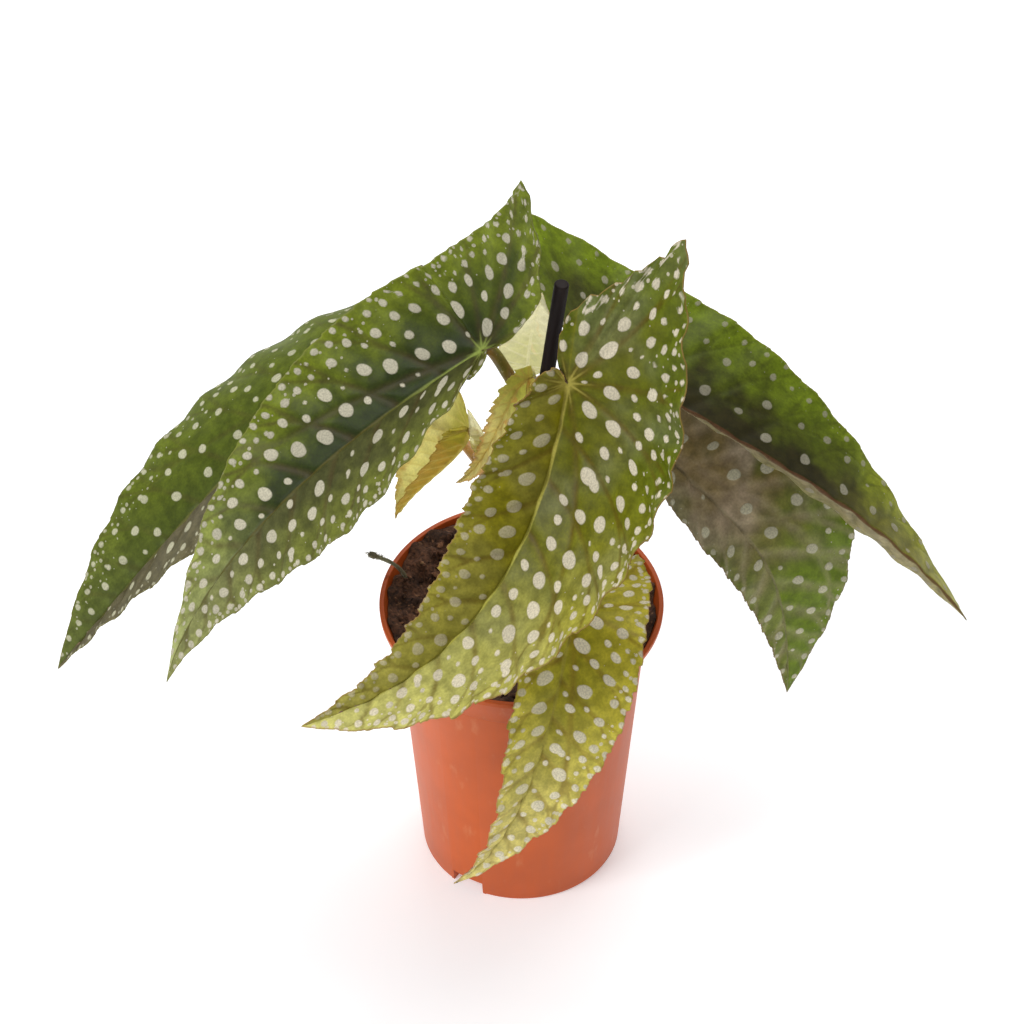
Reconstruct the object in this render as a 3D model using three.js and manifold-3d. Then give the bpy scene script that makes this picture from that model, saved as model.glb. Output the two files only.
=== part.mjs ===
// Potted polka dot begonia: an angel wing begonia with white-spotted leaves in a plastic nursery pot.
// Millimetres, +Z up. The origin is the centre of the pot's underside, and the front faces -Y.
import * as THREE from 'three';
import { mergeVertices } from 'three/addons/utils/BufferGeometryUtils.js';
import Module from 'manifold-3d';

const manifold = await Module();
manifold.setup();

// Driving dimensions
const GAP = 0.3;                                    // clearance between pieces that touch
const DEGREE = Math.PI / 180;

const POT = {
  height: 141, rimRadius: 60, baseRadius: 43, wall: 1.4, rimWall: 2.1, sides: 48,
  collarDepth: 18, collarLowRadius: 54, bodyTopRadius: 52.4,         // the band below the mouth
  lip: 0.9, lipDepth: 2.4,                                           // rolled bead round the mouth
  floor: 1.6, drainHoles: 6, drainRadius: 3.5, drainRing: 24,
  recesses: 2, recessFirst: -123, recessWidth: 15, recessHeight: 7, recessDepth: 9,   // drain the base
};
const SOIL = {
  level: 134, edgeRise: 3.2, lump: 1.5, rings: 10, sides: 48,
  heapHeight: 4, heapAt: [-36, 36], heapSpread: 16,
};
const STAKE = { foot: [-18, -3, 30], top: [15.7, -3, 323], radius: 3, edge: 0.8, sides: 12 };
const TWIG = {
  points: [
    [-43.1, 14.5, 112], [-45.9, 15.4, 124], [-48.6, 16.3, 135.5], [-50, 16.8, 141],
    [-54.2, 18.1, 145.6], [-60, 20, 147.4], [-65, 21, 149],
  ],
  radius: [1.1, 0.8],
};
const BLADE_THICKNESS = 0.8;
const BLADE = { stations: 28, broadFan: 13, narrowFan: 4, broadRows: 3, narrowRows: 2 };

// The leaves. A blade is drawn flat first, u along the midrib from the junction and v across it, and then
// bent: the midrib is a cubic curve from the junction to the tip, its two halves fold up (or down) from it,
// and the pointed basal lobe behind the junction bends away. facing = [degrees round from the front
// towards +X, degrees above the horizon] of the upper face. Pairs of folds are at the junction and the tip.
const LEAVES = {
  leaf_left_upper: {
    junction: [-16, -5, 289], rise: [-22, -4, 281], reach: [-122, -10, 213], tip: [-146, -60, 155],
    facing: [[-9, 56], [-63, 9]], broadSide: 1, broad: 43.5, narrow: 39.5, lobe: [82, 35],
    foldBroad: [4, -1], foldNarrow: [56, -14], curl: [23, -1], droop: -16,
    wave: [1.2, 24], teeth: [0.8, 9], colour: 0x3f6a22,
  },
  leaf_left_rear: {
    junction: [-63, 30, 238], rise: [-101, 34, 230], reach: [-156, 6, 158], tip: [-199, 5, 95],
    facing: [[-60, 37], [-53, 22]], broadSide: 1, broad: 53, narrow: 28, lobe: [60, 34],
    foldBroad: [-4, 26], foldNarrow: [15, 49], curl: [-42, -8], droop: 10,
    wave: [1.0, 26], teeth: [0.8, 9], colour: 0x4c5f30,
  },
  leaf_front_upper: {
    junction: [18, -21, 286], rise: [10.5, -37, 226], reach: [-12, -87, 189], tip: [-89, -100, 171],
    facing: [[4, 37], [-1, 45]], broadSide: -1, broad: 63, narrow: 29, lobe: [62, 46],
    foldBroad: [15, 40], foldNarrow: [22, 36], curl: [43, -17], droop: 29,
    wave: [1.4, 20], teeth: [2.2, 11], colour: 0x87892e,
  },
  leaf_front_lower: {
    junction: [22.5, -35.5, 172.5], rise: [15, -66, 175], reach: [11.5, -81.5, 91], tip: [-28.5, -84, 57],
    facing: [[5, 58], [32, 9]], broadSide: -1, broad: 31, narrow: 18.5, lobe: [46, 17],
    foldBroad: [14, 10], foldNarrow: [16, 28], curl: [-10, -12], droop: 15,
    wave: [1.2, 18], teeth: [1.6, 10], colour: 0x87923a,
  },
  leaf_right_upper: {
    junction: [28, 25, 266], rise: [76, 0, 235], reach: [138, -7, 218], tip: [188, -5, 135],
    facing: [[66, 10], [63, 50]], broadSide: -1, broad: 54, narrow: 18, lobe: [58, 34],
    foldBroad: [-11, -20], foldNarrow: [-134, -91], curl: [20, -5], droop: -6,
    wave: [0.8, 26], teeth: [0.6, 10], colour: 0x47622c,
  },
  leaf_right_lower: {
    junction: [56, 28, 205], rise: [93, 10, 169], reach: [114, 13, 161], tip: [115, 10, 75],
    facing: [[13, 50], [27, 23]], broadSide: -1, broad: 58, narrow: 18, lobe: [45, 32],
    foldBroad: [8, -1], foldNarrow: [23, -1], curl: [-6, -14], droop: 10,
    wave: [1.0, 22], teeth: [1.0, 9], colour: 0x6f7350,
  },
};

// Canes, from the buried foot to the tip, and the leaf stalks that leave them. A node is the place along
// the cane, as a share of its length, where a stalk leaves and the cane is swollen. A stalk runs through
// its points and ends square under its leaf's junction, or comes at it by approach = [along the midrib,
// towards the broad half, up from the face]. clear holds it further off a leaf that bends down there.
const CANES = {
  cane_main: {
    points: [
      [2, 6, 90], [3.2, 6.6, 139], [6, 8, 168], [4, 5, 205], [7, 6, 240], [5, 7, 255], [3, 8.5, 265.5],
    ],
    foot: 3.8, top: 2.2, swell: 0.22, nodes: [0.3, 0.52, 0.76, 0.86, 0.93], colour: 0x9a7a48,
    stalks: [
      {
        leaf: 'leaf_front_lower', points: [[4, 7, 144], [13, -4, 153], [20, -20, 162]],
        radius: [2.4, 2], clear: 0.2,
      },
      { leaf: 'leaf_right_lower', points: [[5, 6, 184], [25, 18, 190], [44, 27, 195]], radius: [2.6, 2.1] },
      {
        leaf: 'leaf_right_upper', points: [[6, 6, 228], [15, 15, 243], [20, 22, 256]],
        radius: [2.6, 2.1], approach: [0, -1, -1],
      },
      { leaf: 'leaf_front_upper', points: [[7, 6, 236], [18, 7, 248], [21, -3, 265]], radius: [2.6, 2.1] },
      { leaf: 'leaf_left_upper', points: [[6, 6, 247], [1, 2, 258], [-3.6, -0.5, 268]], radius: [2.8, 2.5] },
      { leaf: 'leaf_young_middle', points: [[5, 6, 257], [5, 1.5, 267]], radius: [1.9, 1.6] },
    ],
  },
  cane_left: {
    points: [[-22, 2, 90], [-20.8, 1, 138], [-18, 0, 168], [-15.8, 1.5, 205], [-15, 1, 220], [-18, 0.5, 229]],
    foot: 3.3, top: 2.3, swell: 0.25, nodes: [0.35, 0.66, 0.93], colour: 0xb79a68,
    stalks: [
      {
        leaf: 'leaf_left_rear', points: [[-16, 1, 221], [-30, 14, 228], [-47, 25, 230]],
        radius: [2.4, 2], clear: 0.4,
      },
      { leaf: 'leaf_young_left', points: [[-17, 0.7, 226]], radius: [2.3, 2] },
    ],
  },
};
const STALK_END = 0.6;                              // a stalk narrows to this share where it meets the leaf
const STALK_RUN_IN = 4;                             // and runs straight for this length before that

// Young leaves still folded along the midrib, and the thin sheaths that wrapped them.
const YOUNG_BLADE = { stations: 16, broadFan: 5, narrowFan: 3, broadRows: 2, narrowRows: 2 };
const SHEATH_BLADE = { stations: 10, broadFan: 3, narrowFan: 3, broadRows: 2, narrowRows: 2 };
const YOUNG_LEAVES = {
  leaf_young_left: {
    junction: [-21.5, 0, 241], rise: [-24, 3, 220], reach: [-45.5, -11, 220], tip: [-52, -11, 201],
    facing: [[-131, 51], [-127, 44]], broadSide: 1, broad: 25.5, narrow: 14, lobe: [7, 13],
    foldBroad: [64, 54], foldNarrow: [45, 27], curl: [-10, -18], droop: 10,
    wave: [0.5, 9], teeth: [1.8, 4.5], mesh: YOUNG_BLADE, colour: 0xd9c67a,
  },
  leaf_young_middle: {
    junction: [2.5, -6.5, 275], rise: [-8.5, -11, 267], reach: [-11, -17, 237], tip: [-27, -21, 231],
    facing: [[-35, 40], [-35, 40]], broadSide: 1, broad: 6, narrow: 14, lobe: [4.5, 4],
    foldBroad: [50, 42], foldNarrow: [36, 42], curl: [14, 9], droop: 20,
    wave: [0.5, 8], teeth: [2, 4.5], mesh: YOUNG_BLADE, colour: 0xb39a55,
  },
  stipule_large: {
    junction: [2.4, 9, 267.1], rise: [3, 12, 282], reach: [6, 12, 297], tip: [8, 6, 310],
    facing: [[-15, 5], [-5, 5]], broadSide: -1, broad: 14, narrow: 13, lobe: null,
    foldBroad: [38, 30], foldNarrow: [38, 30], curl: [20, 20], droop: 0,
    wave: [0.3, 12], teeth: [0, 9], mesh: SHEATH_BLADE, colour: 0xe4e0ae,
  },
  stipule_small: {
    junction: [-16, -3.6, 230.8], rise: [-14.6, -6.9, 239.8],
    reach: [-17.6, -7.9, 249.8], tip: [-22.1, -7.9, 259.8],
    facing: [[-20, 5], [-20, 5]], broadSide: -1, broad: 5, narrow: 4, lobe: null,
    foldBroad: [38, 30], foldNarrow: [38, 30], curl: [20, 20], droop: 0,
    wave: [0, 12], teeth: [0, 9], mesh: SHEATH_BLADE, colour: 0xe2dcae,
  },
};

const ALL_LEAVES = { ...LEAVES, ...YOUNG_LEAVES };

// Flat outlines, from the junction round to the tip, as shares of lobe and midrib length (along)
// and of lobe spread and half width (across).
function broadOutline(leaf, length) {
  const [lobeLength, lobeSpread] = leaf.lobe;
  const width = leaf.broad;
  return [
    [0, 0], [-0.2 * lobeLength, -0.12 * lobeSpread], [-0.5 * lobeLength, -0.02 * lobeSpread],
    [-0.74 * lobeLength, 0.42 * lobeSpread], [-0.95 * lobeLength, 0.88 * lobeSpread],
    [-lobeLength, lobeSpread], [-0.93 * lobeLength, 0.85 * lobeSpread + 0.12 * width],
    [-0.62 * lobeLength, 0.8 * width], [-0.12 * lobeLength, 0.93 * width],
    [0.12 * length, width], [0.3 * length, 0.95 * width], [0.48 * length, 0.8 * width],
    [0.66 * length, 0.57 * width], [0.82 * length, 0.3 * width], [length, 0],
  ];
}

function narrowOutline(leaf, length) {
  const width = leaf.narrow;
  return [
    [0, 0], [-0.035 * length, -0.22 * width], [0, -0.5 * width], [0.12 * length, -0.8 * width],
    [0.28 * length, -width], [0.46 * length, -0.95 * width], [0.64 * length, -0.7 * width],
    [0.82 * length, -0.36 * width], [length, 0],
  ];
}

const vector = ([x, y, z]) => new THREE.Vector3(x, y, z);
const mix = (a, b, share) => a + (b - a) * share;

function facingDirection([round, above]) {
  const level = Math.cos(above * DEGREE);
  return new THREE.Vector3(
    Math.sin(round * DEGREE) * level, -Math.cos(round * DEGREE) * level, Math.sin(above * DEGREE));
}

// Bends a flat leaf: place(u, v, half) gives the point in space and the upper face's direction at it.
// half is 1 on the broad half and -1 on the narrow one, whose v is negative.
class BentLeaf {
  constructor(leaf) {
    this.leaf = leaf;
    this.midrib = new THREE.CubicBezierCurve3(
      vector(leaf.junction), vector(leaf.rise), vector(leaf.reach), vector(leaf.tip));
    this.length = this.midrib.getLength();
  }

  frame(share) {
    const at = THREE.MathUtils.clamp(share, 0, 1);
    const along = this.midrib.getTangentAt(at);
    const up = facingDirection(this.leaf.facing[0]).lerp(facingDirection(this.leaf.facing[1]), at);
    up.addScaledVector(along, -up.dot(along)).normalize();
    const side = along.clone().cross(up).multiplyScalar(this.leaf.broadSide);
    return { point: this.midrib.getPointAt(at), along, up, side };
  }

  // The direction on the midrib that halves the angle between the two folded halves.
  ribNormal(share) {
    const { up, side } = this.frame(share);
    const { foldBroad, foldNarrow } = this.leaf;
    const broad = mix(...foldBroad, share) * DEGREE;
    const narrow = mix(...foldNarrow, share) * DEGREE;
    return up.multiplyScalar(Math.cos(broad) + Math.cos(narrow))
      .addScaledVector(side, Math.sin(narrow) - Math.sin(broad)).normalize();
  }

  place(u, v, half) {
    const { leaf, length } = this;
    const share = THREE.MathUtils.clamp(u / length, 0, 1);
    const { point, along, up, side } = this.frame(share);
    if (u < 0) {                                    // behind the junction the lobe bends on an arc
      const bend = leaf.droop * DEGREE / 60 || 1e-6;
      const turn = -u * bend;
      point.addScaledVector(along, -Math.sin(turn) / bend).addScaledVector(up, (Math.cos(turn) - 1) / bend);
      up.multiplyScalar(Math.cos(turn)).addScaledVector(along, -Math.sin(turn));
    }
    const fold = mix(...(half > 0 ? leaf.foldBroad : leaf.foldNarrow), share) * DEGREE;
    const curl = leaf.curl[half > 0 ? 0 : 1] * DEGREE / 50 || 1e-6;
    const lean = fold + curl * half * v;
    point.addScaledVector(side, half * (Math.sin(lean) - Math.sin(fold)) / curl);
    point.addScaledVector(up, (Math.cos(fold) - Math.cos(lean)) / curl);
    const face = up.multiplyScalar(Math.cos(lean)).addScaledVector(side, -half * Math.sin(lean));
    return { point, face };
  }
}

// One half of a flat blade as rows of points, each from the midrib out to the toothed, waved margin.
// The first rows fan out from the junction. The others stand on the midrib's stations, and lean forward
// as side veins do, so each foot lies behind its margin point by a share of the half's width there.
// One fan row ends right on the lobe's tip, and the margin near it has neither teeth nor waves.
const VEIN_SLANT = 0.6;
const LOBE_TIP = 9;
const LOBE_TIP_POINT = 5;

function halfBlade(outline, length, fanRows, stations, rows, teeth, wave, lobed) {
  const curve = new THREE.CatmullRomCurve3(
    outline.map(([u, v]) => new THREE.Vector3(u, v, 0)), false, 'catmullrom', 0.5);
  const reach = curve.getLength();
  const footOf = (share) => {
    const margin = curve.getPointAt(share);
    return margin.x - VEIN_SLANT * Math.abs(margin.y);
  };
  const shareOver = (foot) => {
    let low = 0.02;
    let high = 1;
    for (let step = 0; step < 30; step += 1) {
      const middle = (low + high) / 2;
      if (footOf(middle) < foot) low = middle;
      else high = middle;
    }
    return high;
  };
  const fanEnd = shareOver(0);
  const fan = [];
  for (let i = 1; i <= fanRows; i += 1) fan.push(fanEnd * i / fanRows);
  const lobeTip = new THREE.Vector3(...outline[LOBE_TIP_POINT], 0);
  const lobeTipDistance = (share) => curve.getPointAt(share).distanceTo(lobeTip);
  if (lobed) {
    const shares = Array.from({ length: 1001 }, (_, i) => fanEnd * i / 1000);
    const nearest = shares.reduce((best, share) => (
      lobeTipDistance(share) < lobeTipDistance(best) ? share : best));
    const row = Math.round(nearest * fanRows / fanEnd) - 1;
    fan[row] = nearest;
  }
  const feet = fan.map((share) => [share, 0]);
  for (let k = 1; k < stations; k += 1) feet.push([shareOver(length * k / stations), length * k / stations]);
  feet.push([1, length]);

  const outward = Math.sign(outline[3][1]);
  const [toothDepth, toothPitch] = teeth;
  const [waveHeight, waveLength] = wave;
  return feet.map(([share, foot]) => {
    const margin = curve.getPointAt(share);
    const run = curve.getTangentAt(share);
    const plain = lobed ? THREE.MathUtils.smoothstep(lobeTipDistance(share), 0, LOBE_TIP) : 1;
    const ends = Math.min(1, 8 * share, 6 * (1 - share)) * plain;
    const tooth = toothDepth * ends * ((share * reach / toothPitch) % 1);
    margin.x -= outward * run.y * tooth;
    margin.y += outward * run.x * tooth;
    const row = [];
    for (let j = 0; j <= rows; j += 1) {
      const out = j / rows;
      const lift = waveHeight * ends * out * out * Math.sin(2 * Math.PI * share * reach / waveLength);
      row.push([mix(foot, margin.x, out), margin.y * out, lift]);
    }
    return row;
  });
}

// Drops repeated corners, so that shared vertices are one, and keeps positions only.
function welded(geometry) {
  const bare = geometry.clone();
  for (const name of Object.keys(bare.attributes)) if (name !== 'position') bare.deleteAttribute(name);
  return mergeVertices(bare, 1e-4);
}

// A closed sheet of even thickness round an open one. Both faces share one split into triangles. The first
// points lie on the midrib, and there the two faces part along the given normals, which halve the fold.
function thickened(points, triangles, ribNormals, thickness) {
  const open = new THREE.BufferGeometry().setFromPoints(points);
  open.setIndex(triangles.flat());
  open.computeVertexNormals();
  const count = points.length;
  const faces = new Float32Array(count * 6);
  points.forEach((point, i) => {
    const normal = ribNormals[i] ?? new THREE.Vector3().fromBufferAttribute(open.attributes.normal, i);
    point.clone().addScaledVector(normal, thickness / 2).toArray(faces, 3 * i);
    point.clone().addScaledVector(normal, -thickness / 2).toArray(faces, 3 * (count + i));
  });
  const index = [];
  const edges = new Set(triangles.flatMap(([a, b, c]) => [`${a},${b}`, `${b},${c}`, `${c},${a}`]));
  for (const [a, b, c] of triangles) {
    index.push(a, b, c, count + a, count + c, count + b);
    for (const [from, to] of [[a, b], [b, c], [c, a]]) {
      if (!edges.has(`${to},${from}`)) index.push(to, from, count + from, to, count + from, count + to);
    }
  }
  const solid = new THREE.BufferGeometry();
  solid.setAttribute('position', new THREE.BufferAttribute(faces, 3));
  solid.setIndex(index);
  return solid;
}

function bladeGeometry(leaf) {
  const bent = new BentLeaf(leaf);
  const { length } = bent;
  const mesh = leaf.mesh ?? BLADE;
  const narrow = narrowOutline(leaf, length);
  const broad = leaf.lobe ? broadOutline(leaf, length)
    : narrow.map(([u, v]) => [u, -v * leaf.broad / leaf.narrow]);
  const points = [];
  const ribNormals = [];
  for (let k = 0; k <= mesh.stations; k += 1) {
    points.push(bent.place(length * k / mesh.stations, 0, 1).point);
    ribNormals.push(bent.ribNormal(k / mesh.stations));
  }
  const triangles = [];
  for (const { half, outline, fan, rows } of [
    { half: 1, outline: broad, fan: mesh.broadFan, rows: mesh.broadRows },
    { half: -1, outline: narrow, fan: mesh.narrowFan, rows: mesh.narrowRows },
  ]) {
    const upright = half * leaf.broadSide > 0;
    const lobed = half > 0 && leaf.lobe !== null;
    const lines = halfBlade(outline, length, fan, mesh.stations, rows, leaf.teeth, leaf.wave, lobed);
    const tip = lines.length - 1;
    const first = points.length;
    for (const line of lines.slice(0, tip)) {
      for (const [u, v, lift] of line.slice(1)) {
        const { point, face } = bent.place(u, v, half);
        points.push(point.addScaledVector(face, lift));
      }
    }
    const corner = (i, j) => {
      if (i === tip) return mesh.stations;
      return j === 0 ? Math.max(0, i - fan + 1) : first + i * rows + j - 1;
    };
    for (let i = 0; i < tip; i += 1) {
      for (let j = 0; j < rows; j += 1) {
        const [a, b, c, d] = [corner(i, j), corner(i, j + 1), corner(i + 1, j + 1), corner(i + 1, j)];
        for (const [p, q, r] of [[a, b, c], [a, c, d]]) {
          if (p !== q && q !== r && r !== p) triangles.push(upright ? [p, q, r] : [p, r, q]);
        }
      }
    }
  }
  return thickened(points, triangles, ribNormals, BLADE_THICKNESS);
}

const toSolid = (geometry) => {
  const { position } = geometry.attributes;
  return new manifold.Manifold(new manifold.Mesh({
    numProp: 3,
    vertProperties: new Float32Array(position.array),
    triVerts: new Uint32Array(geometry.index.array),
  }));
};

const toGeometry = (solid) => {
  const { vertProperties, triVerts } = solid.getMesh();
  const geometry = new THREE.BufferGeometry();
  geometry.setAttribute('position', new THREE.BufferAttribute(vertProperties, 3));
  geometry.setIndex(new THREE.BufferAttribute(triVerts, 1));
  return geometry;
};

// A round stem: a cylinder bent along a smooth curve, with a radius for each share of its length.
function stemGeometry(points, radiusAt, { sides = 8, steps = 14 } = {}) {
  const curve = new THREE.CatmullRomCurve3(points.map(vector), false, 'centripetal');
  const stem = welded(new THREE.CylinderGeometry(1, 1, 1, sides, steps));
  const { position } = stem.attributes;
  const frames = curve.computeFrenetFrames(steps);
  for (let i = 0; i < position.count; i += 1) {
    const share = THREE.MathUtils.clamp(position.getY(i) + 0.5, 0, 1);
    const station = Math.round(share * steps);
    const radius = radiusAt(share);
    const at = curve.getPointAt(share)
      .addScaledVector(frames.normals[station], position.getX(i) * radius)
      .addScaledVector(frames.binormals[station], -position.getZ(i) * radius);
    position.setXYZ(i, at.x, at.y, at.z);
  }
  return stem;
}

// A cane tapers upwards and swells at each node, where a leaf stalk leaves it.
function caneRadius({ foot, top, nodes, swell }) {
  return (share) => {
    const nearest = Math.min(...nodes.map((node) => Math.abs(node - share)));
    return mix(foot, top, share) * (1 + swell * Math.exp(-((nearest / 0.03) ** 2)));
  };
}

function stalkPoints({ leaf, points, approach = [0, 0, -1], clear = 0 }) {
  const { point, along, up, side } = new BentLeaf(ALL_LEAVES[leaf]).frame(0);
  const [onward, outward, upward] = approach;
  const way = along.multiplyScalar(onward).addScaledVector(side, outward).addScaledVector(up, upward);
  way.normalize();
  const seat = BLADE_THICKNESS / 2 + GAP + clear;
  const ends = [seat + STALK_RUN_IN, seat];
  return [...points, ...ends.map((away) => point.clone().addScaledVector(way, away).toArray())];
}

function caneGeometry(cane) {
  let solid = toSolid(stemGeometry(cane.points, caneRadius(cane), { sides: 10, steps: 20 }));
  for (const stalk of cane.stalks) {
    const radius = (share) => mix(stalk.radius[0], stalk.radius[1], share) * (share < 0.99 ? 1 : STALK_END);
    solid = solid.add(toSolid(stemGeometry(stalkPoints(stalk), radius)));
  }
  return toGeometry(solid);
}

// The inside of the pot's wall at a height: the tapering body, then the wider band below the mouth.
const BODY_TOP = POT.height - POT.collarDepth;

function potInnerRadius(z) {
  if (z < BODY_TOP) return mix(POT.baseRadius, POT.bodyTopRadius, z / BODY_TOP) - POT.wall;
  return mix(POT.bodyTopRadius - POT.wall, POT.rimRadius - POT.rimWall, (z - BODY_TOP) / POT.collarDepth);
}

// Places a shape, drawn with its outward side along X, at one of the drain recesses.
function atRecess(geometry, number) {
  return geometry.rotateZ((POT.recessFirst + 360 * number / POT.recesses) * DEGREE);
}

// The block that houses a drain recess: the space outside the soil, grown by a margin.
function recessHousing(number, margin) {
  const { baseRadius, wall, recessDepth, recessWidth, recessHeight } = POT;
  const depth = recessDepth + wall + margin;
  const housing = new THREE.BoxGeometry(
    depth, recessWidth + 2 * (wall + margin), 2 * (recessHeight + wall + margin));
  return toSolid(welded(atRecess(housing.translate(baseRadius - depth / 2, 0, 0), number)));
}

// A flat-based tapered pot with a banded mouth. Its bottom edge has recesses, and its floor round holes.
function potGeometry() {
  const { height, rimRadius, baseRadius, rimWall, lip, lipDepth } = POT;
  const round = lip / 2;
  const profile = [
    [0, 0], [baseRadius, 0], [POT.bodyTopRadius, BODY_TOP], [POT.collarLowRadius, BODY_TOP],
    [rimRadius - lip, height - lipDepth], [rimRadius, height - lipDepth + round],
    [rimRadius, height - round], [rimRadius - round, height], [rimRadius - rimWall + round, height],
    [potInnerRadius(height - round), height - round], [potInnerRadius(BODY_TOP), BODY_TOP],
    [potInnerRadius(POT.floor), POT.floor], [0, POT.floor],
  ].map(([r, z]) => new THREE.Vector2(r, z));
  const shell = welded(new THREE.LatheGeometry(profile, POT.sides).rotateX(Math.PI / 2));
  const outline = new THREE.CylinderGeometry(POT.bodyTopRadius - GAP, baseRadius - GAP, BODY_TOP, POT.sides)
    .rotateX(Math.PI / 2).translate(0, 0, BODY_TOP / 2);
  const envelope = toSolid(welded(outline));
  let pot = toSolid(shell);
  for (let i = 0; i < POT.recesses; i += 1) {
    const cut = new THREE.BoxGeometry(2 * POT.recessDepth, POT.recessWidth, 2 * POT.recessHeight)
      .translate(baseRadius, 0, 0);
    pot = pot.add(recessHousing(i, 0).intersect(envelope)).subtract(toSolid(welded(atRecess(cut, i))));
  }
  for (let i = 0; i < POT.drainHoles; i += 1) {
    const turn = 2 * Math.PI * i / POT.drainHoles;
    const hole = new THREE.CylinderGeometry(POT.drainRadius, POT.drainRadius, 4 * POT.floor, 12)
      .rotateX(Math.PI / 2)
      .translate(POT.drainRing * Math.cos(turn), POT.drainRing * Math.sin(turn), 0);
    pot = pot.subtract(toSolid(welded(hole)));
  }
  return toGeometry(pot);
}

// Uneven potting soil: crossed ripples of unlike lengths, a raised edge and a heap at the back left.
function soilHeight(x, y) {
  const { level, lump, edgeRise, heapAt, heapHeight, heapSpread } = SOIL;
  const ripples = Math.sin(0.31 * x + 1.3) * Math.cos(0.27 * y - 0.4)
    + 0.7 * Math.sin(0.53 * x - 0.41 * y + 2.1) + 0.5 * Math.cos(0.22 * x + 0.68 * y);
  const outward = Math.hypot(x, y) / POT.bodyTopRadius;
  const away = Math.hypot(x - heapAt[0], y - heapAt[1]) / heapSpread;
  return level + lump * ripples + edgeRise * outward ** 6 + heapHeight * Math.exp(-away * away);
}

function soilGeometry(stems) {
  const bottom = POT.floor + GAP;
  const innerTop = potInnerRadius(SOIL.level) - GAP;
  const profile = [
    [0, bottom], [potInnerRadius(bottom) - GAP, bottom], [potInnerRadius(BODY_TOP) - GAP, BODY_TOP],
  ];
  for (let ring = SOIL.rings; ring >= 0; ring -= 1) profile.push([innerTop * ring / SOIL.rings, SOIL.level]);
  const body = welded(new THREE.LatheGeometry(
    profile.map(([r, z]) => new THREE.Vector2(r, z)), SOIL.sides).rotateX(Math.PI / 2));
  const { position } = body.attributes;
  for (let i = 0; i < position.count; i += 1) {
    if (position.getZ(i) < SOIL.level - 0.01) continue;
    const [x, y] = [position.getX(i), position.getY(i)];
    const height = Math.max(soilHeight(x, y), BODY_TOP + 1);
    // The edge follows the sloping wall as the surface rises and falls.
    const spread = (potInnerRadius(height) - GAP) / innerTop;
    position.setXYZ(i, x * spread, y * spread, height);
  }
  let soil = toSolid(body);
  for (let i = 0; i < POT.recesses; i += 1) soil = soil.subtract(recessHousing(i, GAP));
  for (const hole of stems) soil = soil.subtract(toSolid(hole));
  return toGeometry(soil);
}

// A straight round stick with a flat top and a rounded edge.
function stakeGeometry() {
  const foot = vector(STAKE.foot);
  const way = vector(STAKE.top).sub(foot);
  const { radius, edge } = STAKE;
  const top = way.length();
  const profile = [
    [0, 0], [radius, 0], [radius, top - edge], [radius - 0.3 * edge, top - 0.3 * edge],
    [radius - edge, top], [0, top],
  ].map(([r, y]) => new THREE.Vector2(r, y));
  const turn = new THREE.Quaternion().setFromUnitVectors(new THREE.Vector3(0, 1, 0), way.normalize());
  return welded(new THREE.LatheGeometry(profile, STAKE.sides).applyQuaternion(turn).translate(...STAKE.foot));
}

// A straight hole round the buried end of a stem, a little wider and deeper than the stem.
function stemHole([x, y, z], [nextX, nextY, nextZ], radius) {
  const foot = new THREE.Vector3(x, y, z);
  const up = new THREE.Vector3(nextX, nextY, nextZ).sub(foot).normalize();
  const start = foot.clone().addScaledVector(up, -GAP);
  const end = foot.clone().addScaledVector(up, (POT.height + 10 - z) / up.z);
  return stemGeometry([start.toArray(), end.toArray()], () => radius + GAP, { sides: 12, steps: 1 });
}

const matt = (colour, roughness) => new THREE.MeshStandardMaterial({ color: colour, roughness });

function piece(name, geometry, material) {
  geometry.computeVertexNormals();
  const mesh = new THREE.Mesh(geometry, material);
  mesh.name = name;
  return mesh;
}

const begonia = new THREE.Group();
begonia.name = 'potted_polka_dot_begonia';

begonia.add(piece('pot', potGeometry(), matt(0xc4603a, 0.5)));

const holes = [
  stemHole(STAKE.foot, STAKE.top, STAKE.radius),
  ...Object.values(CANES).map((cane) => stemHole(cane.points[0], cane.points[1], cane.foot)),
  stemHole(TWIG.points[0], TWIG.points[1], TWIG.radius[0]),
];
begonia.add(piece('soil', soilGeometry(holes), matt(0x3b2619, 1)));
begonia.add(piece('stake', stakeGeometry(), matt(0x1d1a19, 0.45)));
const twigRadius = (share) => mix(...TWIG.radius, share);
const twig = stemGeometry(TWIG.points, twigRadius, { sides: 6, steps: 8 });
begonia.add(piece('twig', twig, matt(0x6f7350, 0.9)));
for (const [name, cane] of Object.entries(CANES)) {
  begonia.add(piece(name, caneGeometry(cane), matt(cane.colour, 0.5)));
}
for (const [name, leaf] of Object.entries(ALL_LEAVES)) {
  begonia.add(piece(name, bladeGeometry(leaf), matt(leaf.colour, 0.4)));
}

export default begonia;
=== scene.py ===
"""Potted polka dot begonia: the fine surfaces, colours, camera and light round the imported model.

Shapes are worked out in millimetres and written to meshes in metres, in the model's own frame: +Z up,
the origin under the middle of the pot, the front facing -Y.
"""

import logging
import math
from collections.abc import Callable
from dataclasses import dataclass
from enum import Enum

import bmesh
import bpy
import numpy as np
from mathutils import Matrix, Vector

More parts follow.
